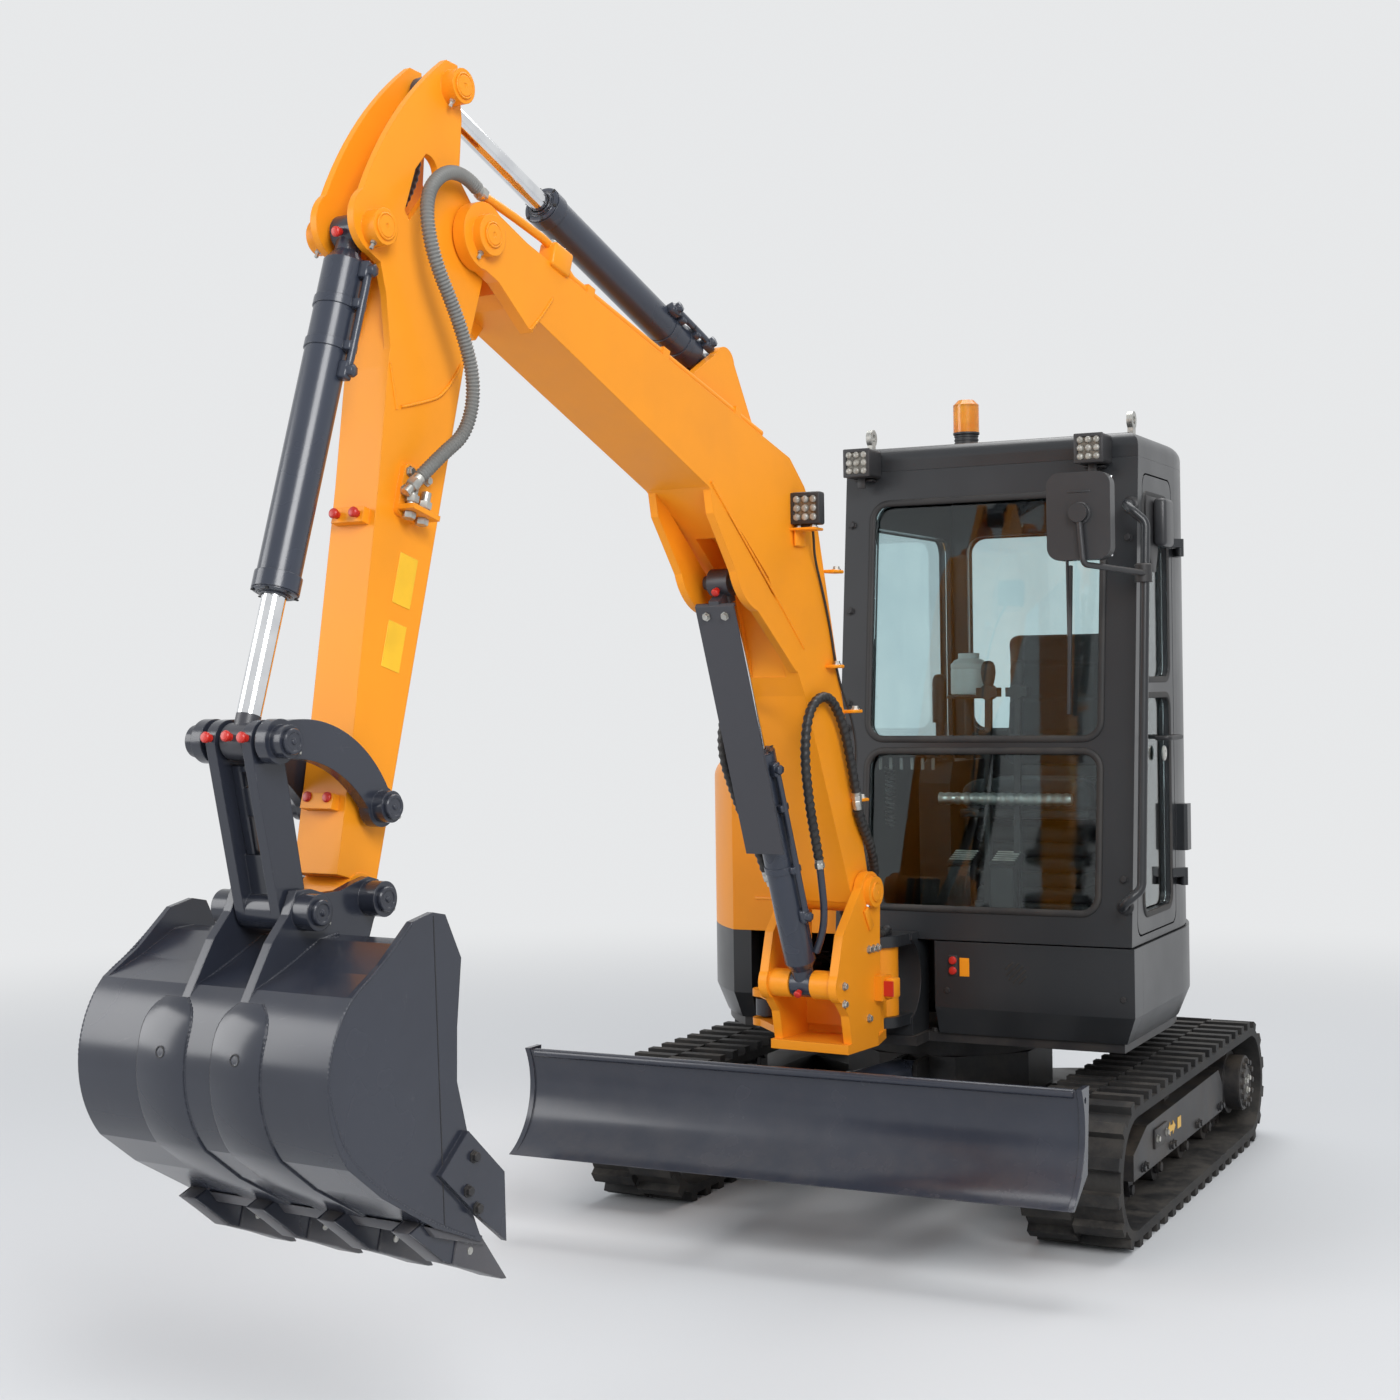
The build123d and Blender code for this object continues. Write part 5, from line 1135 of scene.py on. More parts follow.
# %% Mirror glass and bosses
face = block((0.178, 0.240, 0.004), mirror_face, 0.0018)
put(face, frame_at((0.720, slew_y - 0.7735, 2.150), (-1, 0, 0), up))
boss = turned([(0.034, 0.0), (0.034, 0.004), (0.030, 0.004), (0.018, 0.0), (0.016, 0.008), (0.012, 0.003)],
              mirror_shell, 28)
put(boss, facing_along((0.725, slew_y - 0.8245, 2.158), (0, -1, 0)))
ridge = block((0.070, 0.006, 0.004), mirror_shell, 0.002)
put(ridge, frame_at((0.722, slew_y - 0.8255, 2.222), (1, 0, 0), up))
grip = turned([(0.026, -0.030), (0.026, 0.052), (0.022, 0.004)], black_plastic, 20)
put(grip, moved(0.857, slew_y - 0.614, 1.958))
settle([face, boss, ridge, grip], "front_mirror_details", "upper")

# %% The box on the door's upper front corner, its handle and the inner grip
box_back = plate([(-0.080, 0.085), (0.050, 0.085), (0.050, -0.080), (0.020, -0.150), (-0.020, -0.150),
                  (-0.080, -0.060)], black_plastic, 0.008, 0.002)
put(box_back, frame_at((0.8175, slew_y - 0.360, 2.150), (0, 1, 0), up))
box_front = block((0.110, 0.150, 0.042), mirror_shell, 0.014, 3)
put(box_front, frame_at((0.8465, slew_y - 0.320, 2.155), (0, 1, 0), up))
handle_route = [Vector((x, slew_y + y, 1.480)) for x, y in
                ((0.815, -0.330), (0.846, -0.330), (0.856, -0.326), (0.857, -0.300), (0.857, -0.240),
                 (0.857, -0.190), (0.856, -0.164), (0.846, -0.160), (0.815, -0.160))]
handle = hose(handle_route, 0.0075, frame_paint, sides=12)[0]
keyhole = turned([(0.024, -0.001), (0.024, 0.004), (0.021, 0.002), (0.010, 0.0), (0.009, -0.002),
                  (0.004, 0.001)], zinc, 24)
put(keyhole, facing_along((0.8175, slew_y - 0.245, 1.430), (1, 0, 0)))
grip_route = [Vector((0.806, slew_y - 0.425 + dy, z)) for dy, z in
              ((0.0, 1.700), (0.0, 1.760), (0.004, 1.900), (0.012, 2.060), (0.018, 2.130))]
grip_bar = hose(grip_route, 0.009, black_plastic, sides=12)[0]
settle([box_back, box_front, handle, keyhole, grip_bar], "door_fittings", "door")

# %% Wiper on the upper front window, and screws along the pillars
blade_top, blade_end = cab_front(0.610, 2.020, 0.020), cab_front(0.622, 1.560, 0.014)
wiper_route = [cab_front(*spot) for spot in
               ((0.600, 2.235, 0.012), (0.603, 2.150, 0.026), (0.607, 2.000, 0.026), (0.614, 1.800, 0.022))]
wiper_arm = hose(wiper_route, 0.005, black_plastic, sides=8)[0]
wiper_blade = block((0.012, (blade_top - blade_end).length, 0.014), black_plastic, 0.004)
put(wiper_blade, frame_at((blade_top + blade_end) / 2, (1, 0, 0), blade_top - blade_end))
wiper_lip = block((0.004, (blade_top - blade_end).length, 0.012), rubber_and_recess_shade, 0.001, 1)
put(wiper_lip,
    frame_at((blade_top + blade_end) / 2 + Vector((0, 0.010, 0)), (1, 0, 0), blade_top - blade_end))
pivot = turned([(0.020, 0.0), (0.020, 0.010), (0.016, 0.010), (0.008, 0.003)], black_plastic, 20)
put(pivot, facing_along(cab_front(0.600, 2.252, 0.0), (0, -1, 0.1)))
settle([wiper_arm, wiper_blade, wiper_lip, pivot], "wiper", "upper")
screws = [facing_along(cab_front(-0.122, z, 0.0), (0, -1, 0.1)) for z in (1.30, 1.52, 1.60, 1.90, 2.18)]
screws += [facing_along(cab_front(0.790, z, 0.0), (0, -1, 0.1)) for z in (1.06, 2.10)]
screws += [facing_along(Vector((x, slew_y - 0.6465, 0.700)), (0, -1, 0)) for x in (0.230, 0.790)]
settle(copies_of(dark_bolt, screws), "cab_screws", "upper")
rail_feet = copied(turned([(0.026, 0.0), (0.026, 0.008), (0.020, 0.004), (0.016, 0.001)], frame_paint, 20),
                   [facing_along(cab_front(0.797, z, -0.001), (0, -1, 0.1)) for z in (0.980, 2.200)])
settle(rail_feet, "rail_feet", "upper")

# %% The beacon's ribbed base
beacon_low, beacon_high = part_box("beacon")
middle = (beacon_low + beacon_high) / 2
steps = [(0.041, 0.0), (0.041, 0.012), (0.0385, 0.002)]
for n in range(4):
    steps += [(0.0385, 0.005), (0.0405, 0.001), (0.0405, 0.005), (0.0385, 0.001)]
steps += [(0.0440, 0.003), (0.0440, 0.006), (0.0425, 0.001)]
base = turned(steps, black_plastic, 32)
put(base, moved(middle.x, middle.y, beacon_low.z))
settle(base, "beacon_base", "upper")

# %% [markdown]
# ## The seat
# The seat is a suspension seat: a sprung base in a rubber boot, a cushion with
# side bolsters and a tall leaning back. Both cushions are padded, so each is
# swollen by a cloth simulation from a slightly smaller shape, then smoothed.
# Seams and the stitched channels are pressed in afterwards.

# %% Seat cloth
seat_cloth, tree, shader = blank("seat_cloth", 0.85, Sheen_Weight=0.25, Sheen_Roughness=0.5)
place = add_node(tree, "ShaderNodeTexCoord").outputs["Object"]
weave_x = add_node(tree, "ShaderNodeTexWave", {"Vector": place, "Scale": 260.0}, bands_direction="X")
weave_z = add_node(tree, "ShaderNodeTexWave", {"Vector": place, "Scale": 260.0}, bands_direction="Z")
threads = maths(tree, "MAXIMUM", weave_x.outputs["Fac"], weave_z.outputs["Fac"])
cloud = use(tree, clouds, Scale=18.0)["Value"]
tint = mixed(tree, cloud, (0.040, 0.044, 0.048), (0.072, 0.078, 0.084))
tree.links.new(mixed(tree, threads, tint, (0.030, 0.032, 0.036)), shader.inputs["Base Color"])
tree.links.new(maths(tree, "MULTIPLY_ADD", cloud, 0.08, 0.80), shader.inputs["Roughness"])
bump = add_node(tree, "ShaderNodeBump", {"Height": threads, "Strength": 0.4, "Distance": 0.0008})
tree.links.new(bump.outputs[0], shader.inputs["Normal"])


# %% A padded cushion
swell_frames = 20
channel_depth, channel_half = 0.009, 0.012        # the stitched channels across it
seam_depth, seam_half = 0.010, 0.014              # the seams along its two sides


def cushion(size, rounding, matrix, name, cap, channels):
    """A cushion that swells from a box by cloth pressure, then gets its seams."""
    pad = block(size, seat_cloth, rounding, 4)
    put(pad, matrix)
    clear_selection()
    pad.select_set(True)
    bpy.context.view_layer.objects.active = pad
    bpy.ops.object.transform_apply(location=True, rotation=True, scale=True)
    remesh = pad.modifiers.new("remesh", "REMESH")
    remesh.mode, remesh.voxel_size = "VOXEL", 0.010
    bpy.ops.object.modifier_apply(modifier=remesh.name)
    start = [v.co.copy() for v in pad.data.vertices]
    cloth = pad.modifiers.new("swell", "CLOTH")
    cloth.settings.use_pressure = True
    cloth.settings.uniform_pressure_force = 4
    cloth.settings.effector_weights.gravity = 0
    cloth.point_cache.frame_start, cloth.point_cache.frame_end = 1, swell_frames
    for frame_number in range(1, swell_frames + 1):
        bpy.context.scene.frame_set(frame_number)
    shown = pad.evaluated_get(bpy.context.evaluated_depsgraph_get())
    ends = [v.co.copy() for v in shown.data.vertices]
    pad.modifiers.remove(cloth)
    for vertex, a, b in zip(pad.data.vertices, start, ends):
        move = b - a
        vertex.co = a + move * min(1.0, cap / max(move.length, 1e-6))
    bpy.context.scene.frame_set(1)
    edit(pad)
    bpy.ops.mesh.subdivide(number_cuts=1, smoothness=0.2)
    bpy.ops.object.mode_set(mode="OBJECT")
    inverse = matrix.inverted()
    normals = [v.normal.copy() for v in pad.data.vertices]
    for vertex, normal in zip(pad.data.vertices, normals):
        spot = inverse @ vertex.co
        press = sum(channel_depth * max(0.0, 1 - abs(spot.y - line) / channel_half) for line in channels)
        edge = abs(abs(spot.x) - size[0] * 0.34)
        press += seam_depth * max(0.0, 1 - edge / seam_half)
        if spot.z > size[2] * 0.15:
            vertex.co -= normal * press
    painted(pad, seat_cloth)
    piece = settle(pad, name, "upper", smooth=180)
    return piece


inside_floor = 0.887
seat_low, seat_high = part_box("operator_seat")
seat_x = (seat_low.x + seat_high.x) / 2
cushion_at = moved(seat_x, slew_y - 0.095, inside_floor + 0.400)
seat_pad = cushion((0.455, 0.430, 0.085), 0.032, cushion_at, "seat_cushion", 0.014, (-0.09, 0.02, 0.13))
back_up = Vector((0, 0.14, 1)).normalized()
back_middle = Vector((seat_x, slew_y + 0.120, inside_floor + 0.450)) + back_up * 0.265
back_at = frame_at(back_middle, (1, 0, 0), back_up)
back_pad = cushion((0.400, 0.480, 0.080), 0.034, back_at, "seat_back", 0.014, (-0.12, 0.0, 0.12))
shell_plate = block((0.380, 0.460, 0.014), black_plastic, 0.006)
put(shell_plate, back_at @ moved(0, 0, -0.055))
boot_parts = []
for n in range(5):
    fold = block((0.380 - 0.012 * (n % 2), 0.330 - 0.012 * (n % 2), 0.052), rubber_and_recess_shade, 0.020, 3)
    boot_parts.append(put(fold, moved(seat_x, slew_y - 0.070, inside_floor + 0.075 + 0.050 * n)))
foot_plate = block((0.400, 0.360, 0.050), black_plastic, 0.006)
boot_parts.append(put(foot_plate, moved(seat_x, slew_y - 0.070, inside_floor + 0.026)))
pan = block((0.440, 0.420, 0.030), black_plastic, 0.010)
boot_parts.append(put(pan, moved(seat_x, slew_y - 0.090, inside_floor + 0.345)))
hinge_bar = block((0.300, 0.030, 0.120), black_plastic, 0.010)
boot_parts.append(put(hinge_bar, moved(seat_x, slew_y + 0.125, inside_floor + 0.430)))
seat_base = settle(boot_parts + [shell_plate], "seat_base", "upper")
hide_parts("operator_seat")
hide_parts("operator_seat")
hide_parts("operator_seat")

# %% [markdown]
# ## Inside the cab
# Through the glass one sees the levers' knobs, a bottle beside the seat, a
# silver bar below the window, a coiled lead and a row of hooks.

# %% Small things in the cab
knob = turned([(0.012, 0.0), (0.016, 0.012), (0.021, 0.020), (0.024, 0.022), (0.022, 0.022), (0.016, 0.012),
               (0.006, 0.004)], black_plastic, 20)
knob_places = [moved(x, slew_y - 0.362, 1.640) for x in (0.280, 0.379)]
knob_places += [moved(x, slew_y - 0.220, 1.600) for x in (0.060, 0.660)]
knobs = copied(knob, knob_places)
bellows = []
for x in (0.060, 0.660):
    steps = [(0.050, 0.0)]
    for n in range(5):
        steps += [(0.046 - 0.006 * n, 0.010), (0.049 - 0.006 * n, 0.004)]
    bellow = turned(steps, rubber_and_recess_shade, 24)
    bellows.append(put(bellow, moved(x, slew_y - 0.220, 1.400)))
settle(knobs + bellows, "lever_knobs", "upper", smooth=50)
bottle = turned([(0.058, 0.0), (0.062, 0.004), (0.062, 0.080), (0.060, 0.004), (0.062, 0.004), (0.062, 0.012),
                 (0.050, 0.014), (0.036, 0.006), (0.036, 0.016), (0.034, 0.002)], white_plastic, 32)
put(bottle, moved(0.090, slew_y - 0.005, 1.621))
stand = block((0.140, 0.120, 0.012), black_plastic, 0.004)
put(stand, moved(0.090, slew_y - 0.005, 1.614))
post = block((0.030, 0.030, 0.215), black_plastic, 0.006)
put(post, moved(0.090, slew_y - 0.005, 1.505))
settle([bottle, stand, post], "bottle", "upper", smooth=40)
bar_route = [Vector((x, slew_y - 0.455 + dy, 1.290)) for x, dy in
             ((0.145, 0.0), (0.200, -0.004), (0.300, -0.006), (0.420, -0.006), (0.520, -0.004), (0.580, 0.0))]
bar = hose(bar_route, 0.019, zinc, pitch=0.030, depth=0.0016, sides=16)[0]
hook = block((0.011, 0.010, 0.038), hose_grey, 0.003)
hooks = copied(hook, [moved(x, slew_y - 0.560, 1.405) for x in
                      (-0.020, 0.016, 0.052, 0.088, 0.124, 0.160)])
hook_bar = block((0.220, 0.010, 0.014), black_plastic, 0.003)
put(hook_bar, moved(0.070, slew_y - 0.552, 1.435))
settle([bar, hook_bar] + hooks, "cab_bar_and_hooks", "upper", smooth=50)
hang_route = [Vector((x, slew_y + y, z)) for x, y, z in ((0.006, -0.545, 1.400), (0.010, -0.548, 1.330),
                                                         (0.004, -0.545, 1.265), (0.006, -0.543, 1.200))]
coil_radius, coil_turn = 0.015, 0.72              # the turn is in radians a step
coil = [spot + Vector((coil_radius * cos(k * coil_turn), coil_radius * sin(k * coil_turn), 0))
        for k, spot in enumerate(evenly(smooth_line(hang_route), 0.0016)[0])]
lead = hose(coil, 0.0032, hose_rubber, sides=6, coiled=True)[0]
settle(lead, "coiled_lead", "upper", smooth=60)
mat = block((0.700, 0.260, 0.012), rubber_and_recess_shade, 0.005)
put(mat, moved(0.330, slew_y - 0.440, inside_floor + 0.007))
pedal_pads = []
for x in (0.209, 0.352):
    pad = block((0.084, 0.095, 0.012), rubber_and_recess_shade, 0.004)
    pedal_pads.append(put(pad, frame_at((x, slew_y - 0.420, 1.098), (1, 0, 0), (0, 1, 0.36))))
    for k in range(5):
        groove = block((0.078, 0.006, 0.006), zinc, 0.002, 1)
        pedal_pads.append(put(groove, frame_at((x, slew_y - 0.450 + 0.015 * k, 1.094 + 0.0054 * k), (1, 0, 0),
                                               (0, 1, 0.36))))
settle([mat] + pedal_pads, "cab_floor_details", "upper")

# %% [markdown]
# ## Steel details of the boom and the arm
# Pipes, clips, bolts and welds are what make a bare shape look like a machine.
# Each is placed with the boom's and the arm's own coordinates, so it lies on
# the plate that it belongs to. Welds are thin ropes of metal along an inside
# corner: a hose-like tube with a slow ripple.


# %% A weld bead and a steel tube
def bead(points, radius, material):
    """A weld along a few control points."""
    return hose(points, radius, material, pitch=0.010, depth=radius * 0.18, sides=8)[0]


def corner_line(a, b, parts=3):
    """Control points on a straight line, for a bead or a tube."""
    return [Vector(a).lerp(Vector(b), n / parts) for n in range(parts + 1)]


# %% Welds along the arm's head plates and the boom's cheeks
beads = []
for hand in (-1, 1):
    left = hand * 0.0635
    beads.append(bead([arm_frame(s, a, left) for s, a in ((0.300, -0.034), (0.385, 0.000), (0.430, 0.065),
                                                          (0.470, 0.138))], 0.0035, orange_paint))
    beads.append(bead([arm_frame(s, a, hand * 0.0625) for s, a in
                       ((0.480, 0.150), (0.440, 0.172), (0.390, 0.196))], 0.0030, orange_paint))
settle(beads, "arm_welds", "arm", smooth=60)
beads = []
for hand in (-1, 1):
    left = hand * 0.1005
    beads.append(bead([boom_frame(s, a, left) for s, a in ((2.180, -0.030), (2.170, 0.030), (2.172, 0.098))],
                      0.0035, orange_paint))
    beads.append(bead([boom_frame(s, a, hand * 0.101)
                       for s, a in ((0.735, 0.305), (0.900, 0.306), (1.150, 0.300), (1.395, 0.293))], 0.0035,
                      orange_paint))
settle(beads, "boom_welds", "boom", smooth=60)

# %% Clip tabs on the boom's back edge, with their bolts
tabs, tab_bolts = [], []
for reach, height in ((0.352, 1.582), (0.462, 1.715), (0.458, 1.992), (0.318, 1.318)):
    tab = block((0.062, 0.010, 0.038), orange_paint, 0.004)
    place = side_frame((reach - 0.012, height), 0, 0.112)
    tabs.append(put(tab, place))
    tab_bolts.append(facing_along(boom_point(reach - 0.026, height + 0.005, 0.114), up))
settle(tabs + copies_of(bolt, tab_bolts), "boom_clip_tabs", "boom")

# %% The port block on the arm's left side
parts = []
run = (arm_frame(1.0, 0, 0) - arm_frame(0, 0, 0)).normalized()
for shift in (-0.022, 0.022):
    at = arm_frame(0.684, 0.060 + shift, 0.090)
    for steps, sides, offset in (([(0.0160, 0), (0.0160, 0.014), (0.0145, 0.002)], 6, -0.026),
                                 ([(0.0110, 0), (0.0110, 0.060), (0.0095, 0.002)], 16, -0.048),
                                 ([(0.0150, 0), (0.0150, 0.012), (0.0135, 0.002)], 6, 0.013)):
        piece = turned(steps, zinc, sides)
        parts.append(put(piece, facing_along(at + run * offset, run)))
port_bolts = [facing_along(arm_frame(s, 0.060 + d, 0.0765), leftward) for s, d in
              ((0.604, -0.030), (0.604, 0.030), (0.650, 0.038))]
settle(parts + copies_of(bolt, port_bolts), "arm_port_fittings", "arm")
small = []
for station, top in ((0.730, 0.178), (1.342, 0.102)):
    for side_left in (-0.028, 0.028):
        small.append(facing_along(arm_frame(station, top, side_left),
                                  arm_frame(station, 1, 0) - arm_frame(station, 0, 0)))
settle(copies_of(red_cap, small), "arm_clip_caps", "arm")

# %% Two blank yellow panels on the arm's side
labels = []
for station, length in ((0.835, 0.115), (0.985, 0.105)):
    label = block((length, 0.062, 0.0012), yellow_sticker, 0.0005, 1)
    labels.append(put(label, frame_at(arm_frame(station, 0.028, 0.0626), run,
                                      arm_frame(0, 1, 0) - arm_frame(0, 0, 0))))
settle(labels, "arm_panels", "arm")


# %% [markdown]
# ## Pipes on the cylinders
# Oil enters a cylinder at both ends. A steel pipe runs along the barrel from
# the lower port to the gland, held by a band. The same helper lays it on each.

# %% Pipes, bands and port bosses on the barrels
def barrel_pipes(name, body, start, end, radius, out, first, last, material=None):
    """A pipe beside a barrel, between two distances from its lower pin."""
    material = material or cylinder_paint
    line_dir = (end - start).normalized()
    out = Vector(out)
    out = (out - line_dir * out.dot(line_dir)).normalized()
    across = line_dir.cross(out)
    parts = []
    pipe_r = 0.009
    rise = radius + pipe_r + 0.008
    route = [start + line_dir * s + out * o for s, o in
             ((first, radius), (first, rise * 0.94), (first + 0.012, rise), (first + 0.10, rise),
              ((first + last) / 2, rise), (last - 0.10, rise), (last - 0.012, rise), (last, rise * 0.94),
              (last, radius))]
    parts.append(hose(route, pipe_r, material)[0])
    for s in (first, last):
        boss = block((0.040, 0.028, 0.024), material, 0.005)
        parts.append(put(boss, frame_at(start + line_dir * s + out * (radius + 0.009), line_dir, across)))
        nut = turned([(0.0145, 0), (0.0145, 0.014), (0.0125, 0.002)], material, 6)
        parts.append(put(nut, facing_along(start + line_dir * s + out * (radius + 0.018), out)))
    for s in (first + (last - first) * 0.3, first + (last - first) * 0.72):
        band = opened(turned([(radius - 0.001, 0), (radius + 0.003, 0.001), (radius + 0.003, 0.020),
                              (radius - 0.001, 0.001)], material, 32))
        parts.append(put(band, facing_along(start + line_dir * s, line_dir)))
        saddle = block((0.022, 0.034, 0.020), material, 0.004)
        parts.append(put(saddle,
                         frame_at(start + line_dir * (s + 0.011) + out * (radius + 0.010), line_dir, across)))
    return settle(parts, name, body, smooth=50)


b0, b1 = boom_point(*pins["bucket_base"]), boom_point(*pins["knuckle"])
barrel_pipes("bucket_cylinder_pipes", "bucket_cyl_barrel", b0, b1, 0.047, leftward - ahead * 0.2,
             0.095, 0.330)
a0, a1 = boom_point(*pins["arm_base"]), boom_point(*pins["arm_head"])
barrel_pipes("arm_cylinder_pipes", "arm_cyl_barrel", a0, a1, 0.046, leftward * 0.8 + up * 0.3 - ahead * 0.3,
             0.070, 0.250)
c0, c1 = boom_point(*pins["boom_low"]), boom_point(*pins["boom_high"])
barrel_pipes("boom_cylinder_pipes", "boom_cyl_barrel", c0, c1, 0.046, leftward + ahead * 0.25, 0.230, 0.690)

# %% Wiper rings where the rods leave the barrels
for body, start, end, length, radius, rod in (
        ("bucket_cyl_barrel", b0, b1, 0.830, 0.047, 0.026), ("arm_cyl_barrel", a0, a1, 0.795, 0.046, 0.025),
        ("boom_cyl_barrel", c0, c1, 0.735, 0.046, 0.025)):
    line_dir = (end - start).normalized()
    ring = opened(turned([(radius + 0.002, 0), (radius + 0.002, 0.003), (radius - 0.006, 0.003),
                          (rod + 0.009, 0.0), (rod + 0.006, 0.004), (rod + 0.0015, 0.001)],
                         cylinder_paint, 40))
    put(ring, facing_along(start + line_dir * length, line_dir))
    # the notches round the ring are near-black blocks: painted shade where the notches would be cut
    notch_shade = block((0.010, 0.007, 0.003), rubber_and_recess_shade, 0.001, 1)
    side = line_dir.orthogonal().normalized()
    notch_shade_places = []
    for k in range(6):
        out = Matrix.Rotation(2 * pi * k / 6, 3, line_dir) @ side
        notch_shade_places.append(frame_at(start + line_dir * (length + 0.006) + out * (radius - 0.001), out,
                                line_dir.cross(out)))
    settle([ring] + copied(notch_shade, notch_shade_places), f"gland_{body}", body)

# %% Silver bolts on the boom cylinder's guard
line_dir = (c1 - c0).normalized()
face_out = line_dir.cross(leftward)
if face_out.dot(ahead) < 0:
    face_out = -face_out
guard_bolts = [facing_along(c0 + line_dir * 1.170 + face_out * 0.0700 + leftward * d, face_out)
               for d in (-0.030, 0.030)]
settle(copies_of(bolt, guard_bolts), "guard_bolts", "boom_cyl_rod")

# %% Black hose that shows through the arm's window
inner_route = [arm_frame(s, a, 0.0) for s, a in ((-0.190, 0.190), (-0.120, 0.165), (-0.050, 0.172),
                                                 (0.020, 0.200), (0.070, 0.252), (0.100, 0.300))]
inner_hose, _, length = hose(inner_route, 0.0165, hose_rubber, pitch=0.018, depth=0.0014, spiral=True)
settle(inner_hose, "arm_window_hose", "arm", smooth=60)
print("hose in the arm's window", round(length, 3), "m")

# %% Bolts, plates and hose clamp on the swing bracket
cheek = 0.131
bracket_bolts = [facing_along(boom_point(r, z, cheek), leftward)
                 for r, z in ((0.240, 0.872), (0.268, 0.872), (0.296, 0.872), (0.452, 0.782), (0.452, 0.730),
                              (0.300, 0.668))]
bracket_bolts += [facing_along(boom_point(r, z, -cheek), -leftward)
                  for r, z in ((0.452, 0.782), (0.300, 0.668))]
keeper = block((0.070, 0.028, 0.008), orange_paint, 0.003)
put(keeper, side_frame((0.300, 0.965), 60, cheek + 0.004))
hose_block = block((0.050, 0.060, 0.030), orange_paint, 0.006)
put(hose_block, side_frame((0.222, 0.752), 0, cheek + 0.040))
red_face = block((0.036, 0.046, 0.004), red_plastic, 0.001, 1)
put(red_face, frame_at(boom_point(0.250, 0.752, cheek + 0.040), leftward, up))
settle([keeper, hose_block, red_face] + copies_of(bolt, bracket_bolts), "bracket_fittings", "bracket")
swing_ends = [facing_along(boom_point(0.165, z, -0.298), (0, 0, 1 if z > 0.6 else -1))
              for z in (0.712, 0.600)]
settle(copies_of(dark_pin_end, swing_ends), "swing_pin_ends", "bracket")

# bundle of hoses that passes the swing post into the machine
bundle = []
for k, (left, low_r) in enumerate(((-0.040, 0.120), (-0.012, 0.130), (0.016, 0.132), (0.044, 0.122))):
    route = [boom_point(r, z, left + dl) for r, z, dl in
             ((low_r + 0.055, 1.075, 0), (low_r + 0.030, 1.000, 0), (low_r + 0.010, 0.930, 0.002),
              (low_r - 0.030, 0.890, 0.002), (low_r - 0.100, 0.884, 0.0), (0.000, 0.900, 0.0))]
    piece, _, length = hose(route, 0.0125, hose_rubber, pitch=0.017, depth=0.0012, spiral=True)
    bundle.append(piece)
settle(bundle, "bracket_hose_bundle", "bracket", smooth=60)
print("each hose of the bundle, about", round(length, 3), "m")

# %% [markdown]
# ## The bucket and the blade
# A bucket is rolled and welded: two wear straps run round its back below the
# hanger ears, beads of weld edge them, and each tooth is a cap pinned on an
# adapter. The side cutters are bolted on. Here the straps are thin plates bent
# by following the bucket's own profile.


# %% Wear straps that follow the bucket's back
def bucket_frame(along, aside, left):
    """A place on the bucket: from its lower pin, square to that, and to the left."""
    return boom_point(*from_pin(pins["tip"], bucket_angle, along, aside), left)


def arc_through(a, b, c, parts):
    """Points on the circle through three places in a plane."""
    (ax, ay), (bx, by), (cx, cy) = a, b, c
    d = 2 * (ax * (by - cy) + bx * (cy - ay) + cx * (ay - by))
    ux = ((ax * ax + ay * ay) * (by - cy) + (bx * bx + by * by) * (cy - ay)
          + (cx * cx + cy * cy) * (ay - by)) / d
    uy = ((ax * ax + ay * ay) * (cx - bx) + (bx * bx + by * by) * (ax - cx)
          + (cx * cx + cy * cy) * (bx - ax)) / d
    r = hypot(ax - ux, ay - uy)
    first, last = atan2(ay - uy, ax - ux), atan2(cy - uy, cx - ux)
    return [(ux + r * cos(first + (last - first) * n / parts),
             uy + r * sin(first + (last - first) * n / parts)) for n in range(parts + 1)]


back_line = arc_through((0.352, -0.134), (0.430, -0.290), (0.382, -0.462), 22)
back_line += [(0.336, -0.501), (0.290, -0.540), (0.213, -0.590), (0.135, -0.640), (0.060, -0.675)]
strap_line = back_line[2:]


def strap_half(k, half):
    """Half the strap's width at its k-th place: its top is round."""
    return half * sqrt(1 - (1 - min((k + 0.5) / 5, 1)) ** 2)


def strap(middle, half, thick):
    """A band on the bucket's back, lofted from cross-sections along its profile."""
    shell = bmesh.new()
    sections = []
    for k, (x, y) in enumerate(strap_line):
        ax, ay = strap_line[max(k - 1, 0)]
        bx, by = strap_line[min(k + 1, len(strap_line) - 1)]
        run = Vector((bx - ax, by - ay)).normalized()
        out = Vector((-run.y, run.x))
        if out.dot(Vector((x - 0.15, y + 0.33))) < 0:
            out = -out
        narrow = strap_half(k, half)
        section = []
        for left, lift in ((-narrow, -0.002), (-narrow, thick * 0.8), (-narrow + 0.003, thick),
                           (narrow - 0.003, thick), (narrow, thick * 0.8), (narrow, -0.002)):
            section.append(shell.verts.new(bucket_frame(x + out.x * lift, y + out.y * lift, middle + left)))
        sections.append(section)
    for low, high in zip(sections, sections[1:]):
        for n in range(6):
            m = (n + 1) % 6
            shell.faces.new((low[n], low[m], high[m], high[n]))
    shell.faces.new(sections[0])
    shell.faces.new(reversed(sections[-1]))
    bmesh.ops.recalc_face_normals(shell, faces=shell.faces)
    mesh = bpy.data.meshes.new("strap")
    shell.to_mesh(mesh)
    shell.free()
    mesh.materials.append(bucket_paint)
    piece = bpy.data.objects.new("strap", mesh)
    bpy.context.scene.collection.objects.link(piece)
    return piece


